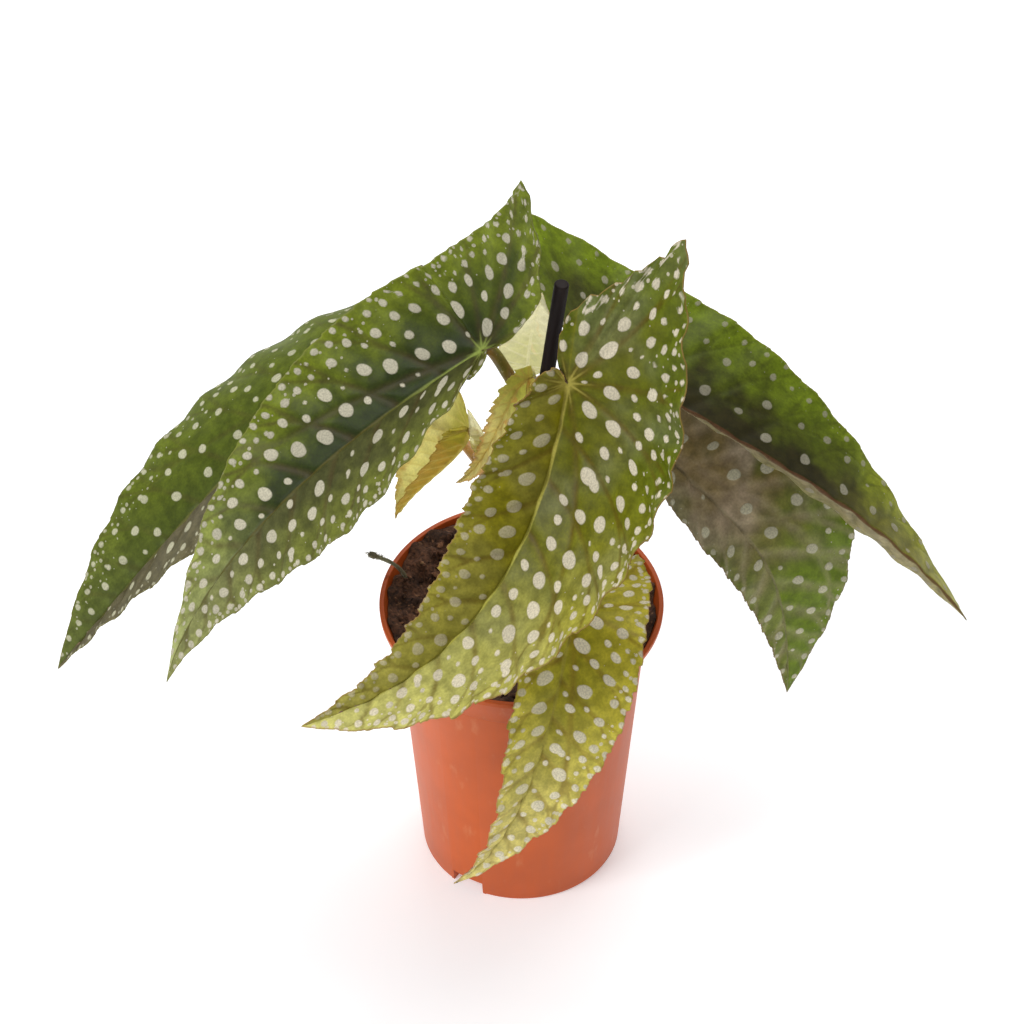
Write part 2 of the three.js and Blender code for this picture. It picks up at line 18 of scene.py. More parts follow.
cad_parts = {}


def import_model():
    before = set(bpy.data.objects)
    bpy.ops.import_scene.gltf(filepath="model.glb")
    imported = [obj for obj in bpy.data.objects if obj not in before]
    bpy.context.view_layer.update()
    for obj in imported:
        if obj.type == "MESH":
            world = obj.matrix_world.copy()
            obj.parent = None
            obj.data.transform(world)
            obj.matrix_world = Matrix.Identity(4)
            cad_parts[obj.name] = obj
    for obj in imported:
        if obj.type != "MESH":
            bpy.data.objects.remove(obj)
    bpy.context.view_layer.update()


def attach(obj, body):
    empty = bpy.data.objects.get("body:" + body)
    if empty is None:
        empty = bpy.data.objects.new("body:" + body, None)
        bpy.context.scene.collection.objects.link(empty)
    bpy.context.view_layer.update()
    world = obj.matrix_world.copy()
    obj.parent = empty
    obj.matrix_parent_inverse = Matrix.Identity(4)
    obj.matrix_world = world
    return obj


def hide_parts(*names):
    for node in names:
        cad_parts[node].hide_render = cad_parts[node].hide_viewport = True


LOG = logging.getLogger("begonia")
MM = 0.001
BODY = "root"
BLADE_MAP = "blade"

Point = tuple[float, float, float]
Pair = tuple[float, float]
Array = np.ndarray
Grid = bmesh.types.BMesh
Object = bpy.types.Object
Material = bpy.types.Material
Mesh = bpy.types.Mesh
Socket = bpy.types.NodeSocket
Colour = Socket | str  # a string is six hex digits
Inputs = dict[str | int, object]


def linear(hex_colour: str) -> tuple[float, float, float, float]:
    """Turns an sRGB hex colour to linear RGBA.

    Args:
        hex_colour: six hex digits, such as "c4603a".

    Returns:
        Red, green, blue and alpha, each from 0 to 1.
    """
    shares = [int(hex_colour[i : i + 2], 16) / 255 for i in (0, 2, 4)]
    channels = [c / 12.92 if c <= 0.04045 else ((c + 0.055) / 1.055) ** 2.4 for c in shares]
    return (*channels, 1.0)


class Trait(Enum):
    """What a leaf's mesh stores at each vertex for its material."""

    SPOT = "spot"  # millimetres inside a spot's edge
    TONE = "tone"  # the nearest spot's own brightness
    VEIN = "vein"  # millimetres from the nearest side vein, wider towards its end
    RIB = "rib"  # millimetres from the midrib, wider towards the tip
    OUT = "out"  # share of the way from the midrib to the margin
    EDGE = "edge"  # millimetres from the margin
    ALONG = "along"  # share of the way along the midrib
    HALF = "half"  # 1 on the broad half, 0 on the narrow one
    JUNCTION = "junction"  # millimetres from where the stalk joins


Number = Socket | Trait | float


class Recipe:
    """A material being put together, with short ways to what its patterns need."""

    def __init__(self, name: str, on_blade: bool = False) -> None:
        """Starts an empty material.

        Args:
            name: the material's name.
            on_blade: if its patterns lie on the flattened blade, and not in the model's frame.
        """
        self.material = bpy.data.materials.new(name)
        self.material.use_nodes = True
        self.tree = self.material.node_tree
        self.tree.nodes.clear()
        if on_blade:
            self.place = self.add("UVMap", output="UV", uv_map=BLADE_MAP)
        else:
            self.place = self.add("TexCoord", output="Object")

    def add(
        self, kind: str, inputs: Inputs | None = None, output: str | int = 0, **settings: object
    ) -> Socket | None:
        """Adds a shader node with its settings, values and links.

        Args:
            kind: the node's type, without the leading "ShaderNode".
            inputs: a value, hex colour, trait or feeding socket for each input, by name or place.
            output: which of its outputs to give back.
            **settings: the node's own properties.

        Returns:
            That output, if the node has any.
        """
        node = self.tree.nodes.new(f"ShaderNode{kind}")
        for name, value in settings.items():
            setattr(node, name, value)
        for name, value in (inputs or {}).items():
            if isinstance(value, Trait):
                value = self.add("Attribute", output="Fac", attribute_name=value.value)
            if isinstance(value, Socket):
                self.tree.links.new(value, node.inputs[name])
            else:
                node.inputs[name].default_value = linear(value) if isinstance(value, str) else value
        return node.outputs[output] if node.outputs else None

    def noise(self, grain: float, detail: float = 3.0, stretch: Point = (1, 1, 1)) -> Socket:
        """Makes a soft random pattern.

        Args:
            grain: the size of its blobs in millimetres.
            detail: how many finer layers it has.
            stretch: how much longer its blobs are along each axis.

        Returns:
            The pattern, round 0.5.
        """
        scale = [1 / (grain * MM * s) for s in stretch]
        place = self.add("Mapping", {"Vector": self.place, "Scale": scale})
        return self.add("TexNoise", {"Vector": place, "Scale": 1.0, "Detail": detail}, "Fac")

    def spread(self, value: Number, start: float, end: float, low: float = 0.0, high: float = 1.0) -> Socket:
        """Maps a range onto another, smoothly and held at its ends.

        Args:
            value: the number to map.
            start: where it gives low.
            end: where it gives high.
            low: the first result.
            high: the last result.

        Returns:
            The mapped number.
        """
        span = {"From Min": start, "From Max": end, "To Min": low, "To Max": high}
        return self.add("MapRange", {"Value": value, **span}, interpolation_type="SMOOTHSTEP")

    def fold(self, operation: str, *values: Number) -> Number:
        """Joins numbers in one, each with the result so far.

        Args:
            operation: what the Math node does with two of them.
            *values: the numbers.

        Returns:
            The result.
        """
        result = values[0]
        for value in values[1:]:
            result = self.add("Math", {0: result, 1: value}, operation=operation)
        return result

    def times(self, *values: Number) -> Number:
        """Multiplies numbers."""
        return self.fold("MULTIPLY", *values)

    def plus(self, *values: Number) -> Number:
        """Adds numbers."""
        return self.fold("ADD", *values)

    def coat(self, under: Colour, over: Colour, share: Number) -> Socket:
        """Lays a colour over another, in a share from 0 to 1."""
        return self.add("Mix", {0: share, 6: under, 7: over}, 2, data_type="RGBA")

    def shade(self, colour: Colour, amount: Number, *span: float) -> Socket:
        """Makes a colour lighter or darker by an amount, mapped first where a span is given for it."""
        value = self.spread(amount, *span) if span else amount
        return self.add("HueSaturation", {"Color": colour, "Value": value})

    def bump(self, height: Socket, depth: float, strength: float = 1.0) -> Socket:
        """Turns a height pattern from 0 to 1 into a relief of some depth in millimetres."""
        return self.add("Bump", {"Height": height, "Distance": depth * MM, "Strength": strength})

    def finish(self, skin: Inputs, *layers: tuple[str, float, Colour]) -> Material:
        """Gives the material its surface and what shows through it.

        Args:
            skin: the inputs of the surface's shader.
            *layers: the kind, share and colour of each shader that is mixed in.

        Returns:
            The finished material.
        """
        shader = self.add("BsdfPrincipled", skin)
        for kind, share, colour in layers:
            if share:
                shader = self.add("MixShader", {0: share, 1: shader, 2: self.add(kind, {"Color": colour})})
        self.add("OutputMaterial", {"Surface": shader})
        return self.material


@dataclass(frozen=True)
class MouldedPlastic:
    """Injection-moulded polypropylene, coloured in the mass: even, satin, with faint flow marks."""

    name: str
    colour: str
    scuffed: str
    roughness: float
    gloss: float
    grain: float = 0.5  # the fine orange peel of the mould, drawn coarse enough to show

    def material(self) -> Material:
        """Builds the material."""
        recipe = Recipe(self.name)
        streaks = recipe.noise(3.5, 4, (1, 1, 9))
        marks = recipe.spread(recipe.noise(7, 5, (1, 1, 2.5)), 0.6, 0.74, 0, 0.35)
        colour = recipe.coat(self.colour, self.scuffed, marks)
        colour = recipe.shade(colour, recipe.noise(26), 0.25, 0.75, 0.93, 1.07)
        colour = recipe.shade(colour, streaks, 0.2, 0.8, 0.97, 1.03)
        skin = {
            "Base Color": colour,
            "Roughness": recipe.plus(recipe.times(streaks, 0.12), self.roughness - 0.06),
            "IOR": 1.49,
            "Specular IOR Level": self.gloss,
            "Normal": recipe.bump(recipe.noise(self.grain, 2), 0.02, 0.5),
        }
        return recipe.finish(skin)


@dataclass(frozen=True)
class Peat:
    """Damp peat with bark: matt, reddish brown and tan where it is dry, with painted shade near black in the
    hollows of its relief.
    """

    name: str
    wet: str
    dry: str
    fibre: str

    def material(self) -> Material:
        """Builds the material."""
        recipe = Recipe(self.name)
        crumbs = recipe.noise(1.6, 5)
        colour = recipe.coat(self.wet, self.dry, recipe.spread(recipe.noise(9, 4), 0.35, 0.65))
        fibres = recipe.spread(recipe.noise(2.2, 5), 0.6, 0.72, 0, 0.8)
        # Partly the crumbs' own tone, partly painted shade: the crumbs' pattern, which is also the relief,
        # darkens its hollows and lightens its tops.
        colour = recipe.shade(recipe.coat(colour, self.fibre, fibres), crumbs, 0.3, 0.7, 0.45, 1.35)
        return recipe.finish({"Base Color": colour, "Roughness": 0.95, "Normal": recipe.bump(crumbs, 1.2)})


@dataclass(frozen=True)
class Stem:
    """Fleshy stem skin, satin: green where it is young, tan and corky where it is old, with pale pores."""

    name: str
    young: str
    old: str
    pore: str
    roughness: float = 0.42

    def material(self) -> Material:
        """Builds the material."""
        recipe = Recipe(self.name)
        patches = recipe.spread(recipe.noise(14, 4, (1, 1, 2)), 0.38, 0.62)
        pores = recipe.spread(recipe.noise(0.9, 1, (1, 1, 2)), 0.66, 0.72, 0, 0.7)
        colour = recipe.coat(recipe.coat(self.old, self.young, patches), self.pore, pores)
        lines = recipe.noise(0.7, 3, (1, 1, 12))
        skin = {
            "Base Color": recipe.shade(colour, lines, 0.3, 0.7, 0.88, 1.1),
            "Roughness": self.roughness,
            "Normal": recipe.bump(lines, 0.12, 0.6),
            "Subsurface Weight": 0.15,
            "Subsurface Radius": (0.004, 0.003, 0.001),
            "Subsurface Scale": 0.4,
        }
        return recipe.finish(skin)


@dataclass(frozen=True)
class BladeSkin:
    """Waxy leaf skin, satin, lit through from behind: silvery raised spots on a green blade."""

    name: str
    middle: str  # near the midrib
    outer: str  # near the margin
    end: str  # towards the tip
    narrow_half: str
    vein: str
    rib: str
    glow: str  # where the veins meet at the stalk
    spot: str
    edge: str
    through: str  # light that comes through the blade
    # painted reflection: the grey sheen of the waxy blade, laid into its colour
    painted_sheen: str = "8f9088"
    painted_sheen_share: float = 0.0  # painted reflection: grey sheen in patches between the veins
    lower: str = ""  # near the margin from the middle of the leaf on, where it differs
    narrow_share: float = 0.0
    vein_share: float = 0.35
    vein_width: float = 2.8
    end_start: float = 0.6  # where the tip's colour begins, as a share of the midrib
    end_full: float = 1.1  # and where it has taken over
    end_share: float = 0.5
    rib_share: float = 0.8
    rib_glow: float = 60.0  # how far the glow runs down the midrib, in millimetres
    thread_reach: float = 10.0  # and down the side veins
    spot_share: float = 0.95
    narrow_spots: float = 1.0  # how much of that they keep on the narrow half
    speckle: float = 1.0
    speck_pitch: float = 3.1  # between specks, in millimetres
    roughness: float = 0.42
    translucency: float = 0.2

    def ground(self, recipe: Recipe) -> Socket:
        """Mixes the green of the blade without its spots, with patches of painted sheen.

        Args:
            recipe: the material being built.

        Returns:
            The colour.
        """
        patches = recipe.noise(17)
        drift = recipe.plus(recipe.times(recipe.plus(patches, -0.5), 1.1), Trait.OUT)
        outer = recipe.coat(self.outer, self.lower or self.outer, recipe.spread(Trait.ALONG, 0.05, 0.5))
        toward = recipe.plus(recipe.times(patches, 0.2), Trait.ALONG)
        colour: Colour = self.middle
        for over, share in (
            (outer, recipe.spread(drift, 0.15, 1.05)),
            # painted reflection: patches of grey sheen
            (self.painted_sheen, recipe.spread(recipe.noise(30, 2), 0.42, 0.64, 0, self.painted_sheen_share)),
            (self.end, recipe.spread(toward, self.end_start, self.end_full, 0, self.end_share)),
            (self.narrow_half, recipe.spread(Trait.HALF, 1, 0, 0, self.narrow_share)),
        ):
            colour = recipe.coat(colour, over, share)
        return recipe.shade(colour, recipe.noise(5, 4), 0.3, 0.7, 0.78, 1.24)

    def veined(self, recipe: Recipe, colour: Socket) -> Socket:
        """Draws the veins: soft bands, threads that glow near the stalk, and the midrib.

        Args:
            recipe: the material being built.
            colour: the green of the blade.

        Returns:
            The colour with its veins.
        """
        uneven = recipe.spread(recipe.noise(8), 0.3, 0.7, 0.45, 1.0)
        band = recipe.times(recipe.spread(Trait.VEIN, 0.1, self.vein_width, self.vein_share, 0), uneven)
        near = recipe.spread(Trait.JUNCTION, 2, self.thread_reach, 1, 0)
        rib_colour = recipe.coat(self.glow, self.rib, recipe.spread(Trait.JUNCTION, 4, self.rib_glow))
        for over, share in (
            (self.vein, band),
            (self.glow, recipe.times(recipe.spread(Trait.VEIN, 0.15, 0.75, 0.7, 0), near)),
            (rib_colour, recipe.spread(Trait.RIB, 0.4, 1.2, self.rib_share, 0)),
            (self.glow, recipe.spread(Trait.JUNCTION, 1, 5, 0.7, 0)),
        ):
            colour = recipe.coat(colour, over, share)
        return colour

    def specks(self, recipe: Recipe) -> Socket:
        """Scatters specks under a millimetre and a half wide, most of them near the margin and the tip.

        Args:
            recipe: the material being built.

        Returns:
            1 on a speck and 0 off it.
        """
        spacing = {"Vector": recipe.place, "Scale": 1 / (self.speck_pitch * MM), "Randomness": 1.0}
        cell = recipe.add("TexVoronoi", spacing, "Color", voronoi_dimensions="2D")
        chance = recipe.add("SeparateColor", {0: cell})
        crowd = recipe.plus(
            recipe.spread(Trait.OUT, 0.35, 1.1, 0, 0.5),
            recipe.spread(Trait.ALONG, 0.5, 1, 0, 0.25),
        )
        size = recipe.spread(recipe.plus(chance, crowd), 0.93, 1.4, 0.0, 0.3 * self.speckle)
        gap = recipe.plus(size, recipe.times(cell.node.outputs["Distance"], -1))
        return recipe.spread(gap, -0.02, 0.06)

    def material(self) -> Material:
        """Builds the material of the upper face."""
        recipe = Recipe(self.name, on_blade=True)
        cells = recipe.noise(1.1)
        colour = recipe.shade(self.veined(recipe, self.ground(recipe)), cells, 0.25, 0.75, 0.86, 1.14)

        silver = recipe.shade(self.spot, Trait.TONE)
        silver = recipe.shade(silver, recipe.noise(0.8, 2), 0.35, 0.65, 0.8, 1.06)
        inside = recipe.spread(Trait.SPOT, -0.35, 0.35)
        marked = recipe.fold("MAXIMUM", inside, recipe.times(self.specks(recipe), 0.8))
        on_narrow = self.spot_share * self.narrow_spots
        kept = recipe.spread(Trait.HALF, 0, 1, on_narrow, self.spot_share)
        colour = recipe.coat(colour, silver, recipe.times(marked, kept))
        rim = recipe.spread(Trait.EDGE, 0.15, 0.7, 0.6, 0)
        wax = recipe.plus(recipe.times(marked, 0.1), recipe.times(cells, 0.1), self.roughness - 0.05)
        skin = {
            "Base Color": recipe.coat(colour, self.edge, rim),
            "Roughness": wax,
            "IOR": 1.45,
            "Specular IOR Level": 0.18,
            "Normal": recipe.bump(recipe.plus(recipe.times(cells, 0.6), marked), 0.16, 0.55),
        }
        lit = recipe.coat(self.through, silver, recipe.times(marked, 0.6))
        return recipe.finish(skin, ("BsdfTranslucent", self.translucency, lit))


@dataclass(frozen=True)
class BladeBack:
    """The underside of a leaf: matt and wine red over green, with raised paler veins."""

    name: str
    red: str
    green: str
    vein: str
    through: str
    translucency: float = 0.22

    def material(self) -> Material:
        """Builds the material."""
        recipe = Recipe(self.name, on_blade=True)
        cells = recipe.noise(0.9)
        colour = recipe.coat(self.red, self.green, recipe.spread(recipe.noise(15), 0.35, 0.7))
        lines = recipe.fold(
            "MAXIMUM",
            recipe.spread(Trait.VEIN, 0.4, 1.2, 0.7, 0),
            recipe.spread(Trait.RIB, 1.0, 2.0, 0.9, 0),
        )
        colour = recipe.coat(colour, self.vein, lines)
        colour = recipe.coat(colour, self.vein, recipe.spread(Trait.SPOT, -0.4, 0.4, 0, 0.22))
        skin = {
            "Base Color": recipe.shade(colour, cells, 0.25, 0.75, 0.85, 1.12),
            "Roughness": 0.55,
            "IOR": 1.45,
            "Normal": recipe.bump(cells, 0.12, 0.6),
        }
        return recipe.finish(skin, ("BsdfTranslucent", self.translucency, self.through))


@dataclass(frozen=True)
class YoungSkin:
    """Young leaf tissue, thin and soft: cream yellow, greener by its stalk, tan at its toothed margin."""

    name: str
    broad: str
    narrow: str
    edge: str
    vein: str
    through: str
    root: str  # by the stalk
    dry: str  # patches that have dried
    translucency: float
    sharpness: float  # where the margin's colour begins, as a share of the way out
    root_reach: float  # in millimetres
    dryness: float = 0.5
    clearness: float = 0.0  # how much of what lies behind shows through it

    def material(self) -> Material:
        """Builds the material."""
        recipe = Recipe(self.name, on_blade=True)
        cells, folds = recipe.noise(0.9), recipe.noise(3.2, 2, (1, 2.2, 1))
        reach = recipe.plus(recipe.times(recipe.plus(recipe.noise(5), -0.5), 0.7), Trait.OUT)
        lines = recipe.fold(
            "MAXIMUM",
            recipe.spread(Trait.VEIN, 0.15, 0.9, 0.55, 0),
            recipe.spread(Trait.RIB, 0.4, 1.1, 0.7, 0),
        )
        colour: Colour = self.narrow
        for over, share in (
            (self.broad, recipe.spread(Trait.HALF, 0, 1)),
            (self.edge, recipe.spread(reach, self.sharpness, 1.05, 0, 0.85)),
            (self.root, recipe.spread(Trait.JUNCTION, 0.3 * self.root_reach, self.root_reach, 0.9, 0)),
            (self.dry, recipe.spread(recipe.noise(7, 2), 0.6, 0.7, 0, self.dryness)),
            (self.vein, lines),
        ):
            colour = recipe.coat(colour, over, share)
        colour = recipe.shade(colour, cells, 0.25, 0.75, 0.86, 1.1)
        # Painted shade and light on the folds: darker in their hollows, lighter on their crests.
        colour = recipe.shade(colour, folds, 0.32, 0.68, 0.82, 1.08)
        relief = recipe.plus(folds, recipe.times(cells, 0.4), recipe.times(lines, -1))
        skin = {"Base Color": colour, "Roughness": 0.5, "IOR": 1.42, "Normal": recipe.bump(relief, 0.7, 0.8)}
        lit = ("BsdfTranslucent", self.translucency, recipe.coat(self.through, colour, 0.5))
        return recipe.finish(skin, lit, ("BsdfTransparent", self.clearness, self.through))


def smooth(low: float, high: float, value: Array) -> Array:
    """Rises smoothly from 0 at low to 1 at high.

    Args:
        low: where it starts.
        high: where it ends.
        value: the numbers to map.

    Returns:
        The mapped numbers.
    """
    share = np.clip((value - low) / (high - low), 0, 1)
    return share * share * (3 - 2 * share)


def hump(away: Array) -> Array:
    """Falls from 1 at the middle to nearly 0 two widths away."""
    return np.exp(-(away**2))


def smooth_line(points: list[Pair] | list[Point], evenness: float = 0.0, steps: int = 60) -> Array:
    """Runs a smooth curve through points.

    Args:
        points: the points, in order.
        evenness: 0 for even knots, 0.5 for knots that follow the distances, which never loops.
        steps: how many samples each stretch gets.

    Returns:
        The samples, one row each.
    """
    given = np.array(points, float)
    ends = np.vstack([2 * given[0] - given[1], given, 2 * given[-1] - given[-2]])
    share = np.linspace(0, 1, steps, endpoint=False)[:, None]
    parts = []
    for a, b, c, d in zip(ends, ends[1:], ends[2:], ends[3:]):
        before, here, after = (float(np.linalg.norm(q - p)) ** evenness for p, q in ((a, b), (b, c), (c, d)))
        start = here * ((b - a) / before - (c - a) / (before + here) + (c - b) / here)
        end = here * ((c - b) / here - (d - b) / (here + after) + (d - c) / after)
        parts.append(
            b
            + start * share
            + (3 * (c - b) - 2 * start - end) * share**2
            + (2 * (b - c) + start + end) * share**3
        )
    return np.vstack([*parts, given[-1:]])


def lengths(points: Array) -> Array:
    """Gives the length of a line of points up to each of them."""
    return np.concatenate([[0.0], np.cumsum(np.linalg.norm(np.diff(points, axis=0), axis=1))])


def sampled(at: Array, stations: Array, values: Array) -> Array:
    """Reads a table of vectors between its stations.

    Args:
        at: where to read.
        stations: where the table's rows stand.
        values: the table's rows.

    Returns:
        One vector for each place.
    """
    return np.stack([np.interp(at, stations, values[:, axis]) for axis in range(values.shape[1])], -1)


def unit(vectors: Array) -> Array:
    """Scales vectors to length 1."""
    return vectors / np.linalg.norm(vectors, axis=-1, keepdims=True)


def facing(direction: Pair) -> Array:
    """Gives the direction that a face looks in.

    Args:
        direction: degrees round from the front towards +X, and degrees above the horizon.

    Returns:
        The direction.
    """
    round_, above = np.radians(direction)
    level = math.cos(above)
    return np.array([math.sin(round_) * level, -math.cos(round_) * level, math.sin(above)])


@dataclass(frozen=True)
class LeafShape:
    """A leaf's form in millimetres and degrees: flat outline, the curve of its midrib, and how it is bent.

    A blade is drawn flat, u along the midrib from the junction with the stalk and v across it. Then the
    midrib follows a cubic curve, the halves fold up or down from it, and the lobe behind the junction
    bends away. Pairs of folds are at the junction and at the tip.
    """

    junction: Point
    rise: Point
    reach: Point
    tip: Point
    facing: tuple[Pair, Pair]
    broad_side: int
    broad: float
    narrow: float
    lobe: Pair | None
    fold_broad: Pair
    fold_narrow: Pair
    curl: Pair  # degrees over 50 mm out from the midrib, on the broad and on the narrow half
    droop: float  # degrees over 60 mm behind the junction
    wave: Pair  # height and length of the margin's waves
    teeth: Pair  # depth and pitch


@dataclass(frozen=True)
class Fineness:
    """How many rows and columns a blade's mesh has."""

    fan: int
    stations: int
    broad: int
    narrow: int


LARGE_BLADE = Fineness(72, 176, 54, 30)
SMALL_BLADE = Fineness(40, 110, 24, 18)
SHEATH = Fineness(24, 60, 16, 16)


class FlatBlade:
    """The flat outline of a leaf, cut into rows that run from the midrib to the margin."""

    VEIN_SLANT = 0.6  # a row's foot lies behind its margin point by this share of the width there
    FAN_VEINS = (0.1, 0.3, 0.52, 0.74, 0.93)
    SIDE_VEINS = (0.1, 0.22, 0.34, 0.46, 0.57, 0.67, 0.76, 0.84)
    LOBE_TIP = 9.0  # the margin is plain this near to the lobe's tip, in millimetres
    TOOTH_TRIM = 0.85  # keeps the finely cut teeth within the model's coarser ones
    FINE_TOOTH = 0.28  # depth of the fine teeth, as a share of the full one
    FINE_COUNT = 3.4  # how many of them a coarse one has
    VEIN_SHIFT = 0.05  # how much further on the narrow half's veins start
    NEAR = 0.002  # how far apart, as a share of the margin, its heading is read

    def __init__(self, shape: LeafShape, length: float, mesh: Fineness) -> None:
        """Works out both halves.

        Args:
            shape: the leaf's form.
            length: the length of its midrib.
            mesh: how fine the rows are.
        """
        self.shape = shape
        self.length = length
        narrow = self.narrow_outline()
        if shape.lobe:
            broad = self.broad_outline()
        else:
            broad = [(u, -v * shape.broad / shape.narrow) for u, v in narrow]
        fan, beyond = (np.arange(1, n + 1) / n for n in (mesh.fan, mesh.stations))
        self.stations = np.concatenate([fan, 1 + beyond])
        self.halves = {1: self.rows(broad, 1), -1: self.rows(narrow, -1)}

    def broad_outline(self) -> list[Pair]:
        """Gives the points of the broad half's margin, round its basal lobe to the tip."""
        lobe, spread = self.shape.lobe
        wide, long = self.shape.broad, self.length
        return [
            (0, 0), (-0.2 * lobe, -0.12 * spread), (-0.5 * lobe, -0.02 * spread),
            (-0.74 * lobe, 0.42 * spread), (-0.95 * lobe, 0.88 * spread), (-lobe, spread),
            (-0.93 * lobe, 0.85 * spread + 0.12 * wide), (-0.62 * lobe, 0.8 * wide),
            (-0.12 * lobe, 0.93 * wide), (0.12 * long, wide), (0.3 * long, 0.95 * wide),
            (0.48 * long, 0.8 * wide), (0.66 * long, 0.57 * wide), (0.82 * long, 0.3 * wide), (long, 0),
        ]  # fmt: skip

    def narrow_outline(self) -> list[Pair]:
        """Gives the points of the narrow half's margin, from the junction to the tip."""
        wide, long = self.shape.narrow, self.length
        return [
            (0, 0), (-0.035 * long, -0.22 * wide), (0, -0.5 * wide), (0.12 * long, -0.8 * wide),
            (0.28 * long, -wide), (0.46 * long, -0.95 * wide), (0.64 * long, -0.7 * wide),
            (0.82 * long, -0.36 * wide), (long, 0),
        ]  # fmt: skip

    def rows(self, outline: list[Pair], side: int) -> dict[str, Array]:
        """Finds each row's foot on the midrib and its end on the toothed margin.

        Args:
            outline: the points of the margin.
            side: 1 for the broad half and -1 for the narrow one.

        Returns:
            Feet, margin points and wave heights.
        """
        curve = smooth_line(outline)
        run = lengths(curve)
        reach = run[-1]
        shares = np.linspace(0.02, 1, 4000)
        margin = sampled(shares * reach, run, curve)
        feet_over = np.maximum.accumulate(margin[:, 0] - self.VEIN_SLANT * np.abs(margin[:, 1]))
        fan_end = float(np.interp(0, feet_over, shares))
        foot = np.clip(self.stations - 1, 0, 1) * self.length
        beyond = np.interp(foot, feet_over, shares)
        share = np.where(self.stations <= 1, fan_end * self.stations, beyond)
        share[-1] = 1
        point, ahead, behind = (
            sampled(np.clip(share + step, 0, 1) * reach, run, curve) for step in (0, self.NEAR, -self.NEAR)
        )
        heading = unit(ahead - behind)
        ends = np.clip(np.minimum(8 * share, 6 * (1 - share)), 0, 1)
        if side > 0 and self.shape.lobe:
            lobe, spread = self.shape.lobe
            ends = ends * smooth(0, self.LOBE_TIP, np.hypot(point[:, 0] + lobe, point[:, 1] - spread))
        depth, pitch = self.shape.teeth
        tooth = self.TOOTH_TRIM * ((share * reach / pitch) % 1)
        tooth -= self.FINE_TOOTH * ((share * reach / pitch * self.FINE_COUNT) % 1)
        outward = side * np.stack([-heading[:, 1], heading[:, 0]], -1)
        point += outward * (depth * ends * tooth)[:, None]
        height, wave_length = self.shape.wave
        wave = height * ends * np.sin(2 * math.pi * share * reach / wave_length)
        return {"foot": np.stack([foot, 0 * foot], -1), "margin": point, "wave": wave[:, None]}

    def read(self, key: str, half: Array, station: Array) -> Array:
        """Reads one of the tables of the halves at each row."""
        tables = (sampled(station, self.stations, self.halves[side][key]) for side in (1, -1))
        return np.where(half[:, None] > 0, *tables)

    def at(self, half: Array, station: Array, out: Array) -> Array:
        """Gives flat places.

        Args:
            half: 1 for the broad half and -1 for the narrow one.
            station: which row, from 0 to 1 in the fan behind the junction and on to 2 at the tip.
            out: the share of the way from midrib to margin.

        Returns:
            The places as u and v.
        """
        foot, margin = (self.read(key, half, station) for key in ("foot", "margin"))
        return foot + (margin - foot) * out[:, None]

    def vein_distance(self, half: Array, places: Array, out: Array) -> Array:
        """Measures how far flat places lie from the nearest side vein.

        Args:
            half: 1 for the broad half and -1 for the narrow one.
            places: the flat places.
            out: each place's share of the way from midrib to margin.

        Returns:
            The distances in millimetres, wider near the margin, where veins are thin.
        """
        shift = np.where(half > 0, 0.0, self.VEIN_SHIFT)
        starts = [(start, 0.0, (0.02, -0.022)) for start in self.FAN_VEINS]
        starts += [(1 + shift + start, 0.035, (0.028, -0.03)) for start in self.SIDE_VEINS]
        nearest = np.full(out.shape, 99.0)
        for start, bow, forks in starts:
            for fork in forks:
                station = start + bow * out**2 + fork * smooth(0.55, 1, out)
                here = self.at(half, station, out)
                way = unit(self.at(half, station, np.minimum(out + 0.03, 1.03)) - here + 1e-9)
                apart = places - here
                across = np.abs(apart[..., 0] * way[..., 1] - apart[..., 1] * way[..., 0])
                nearest = np.minimum(nearest, across)
        return nearest / (1 - 0.55 * out)


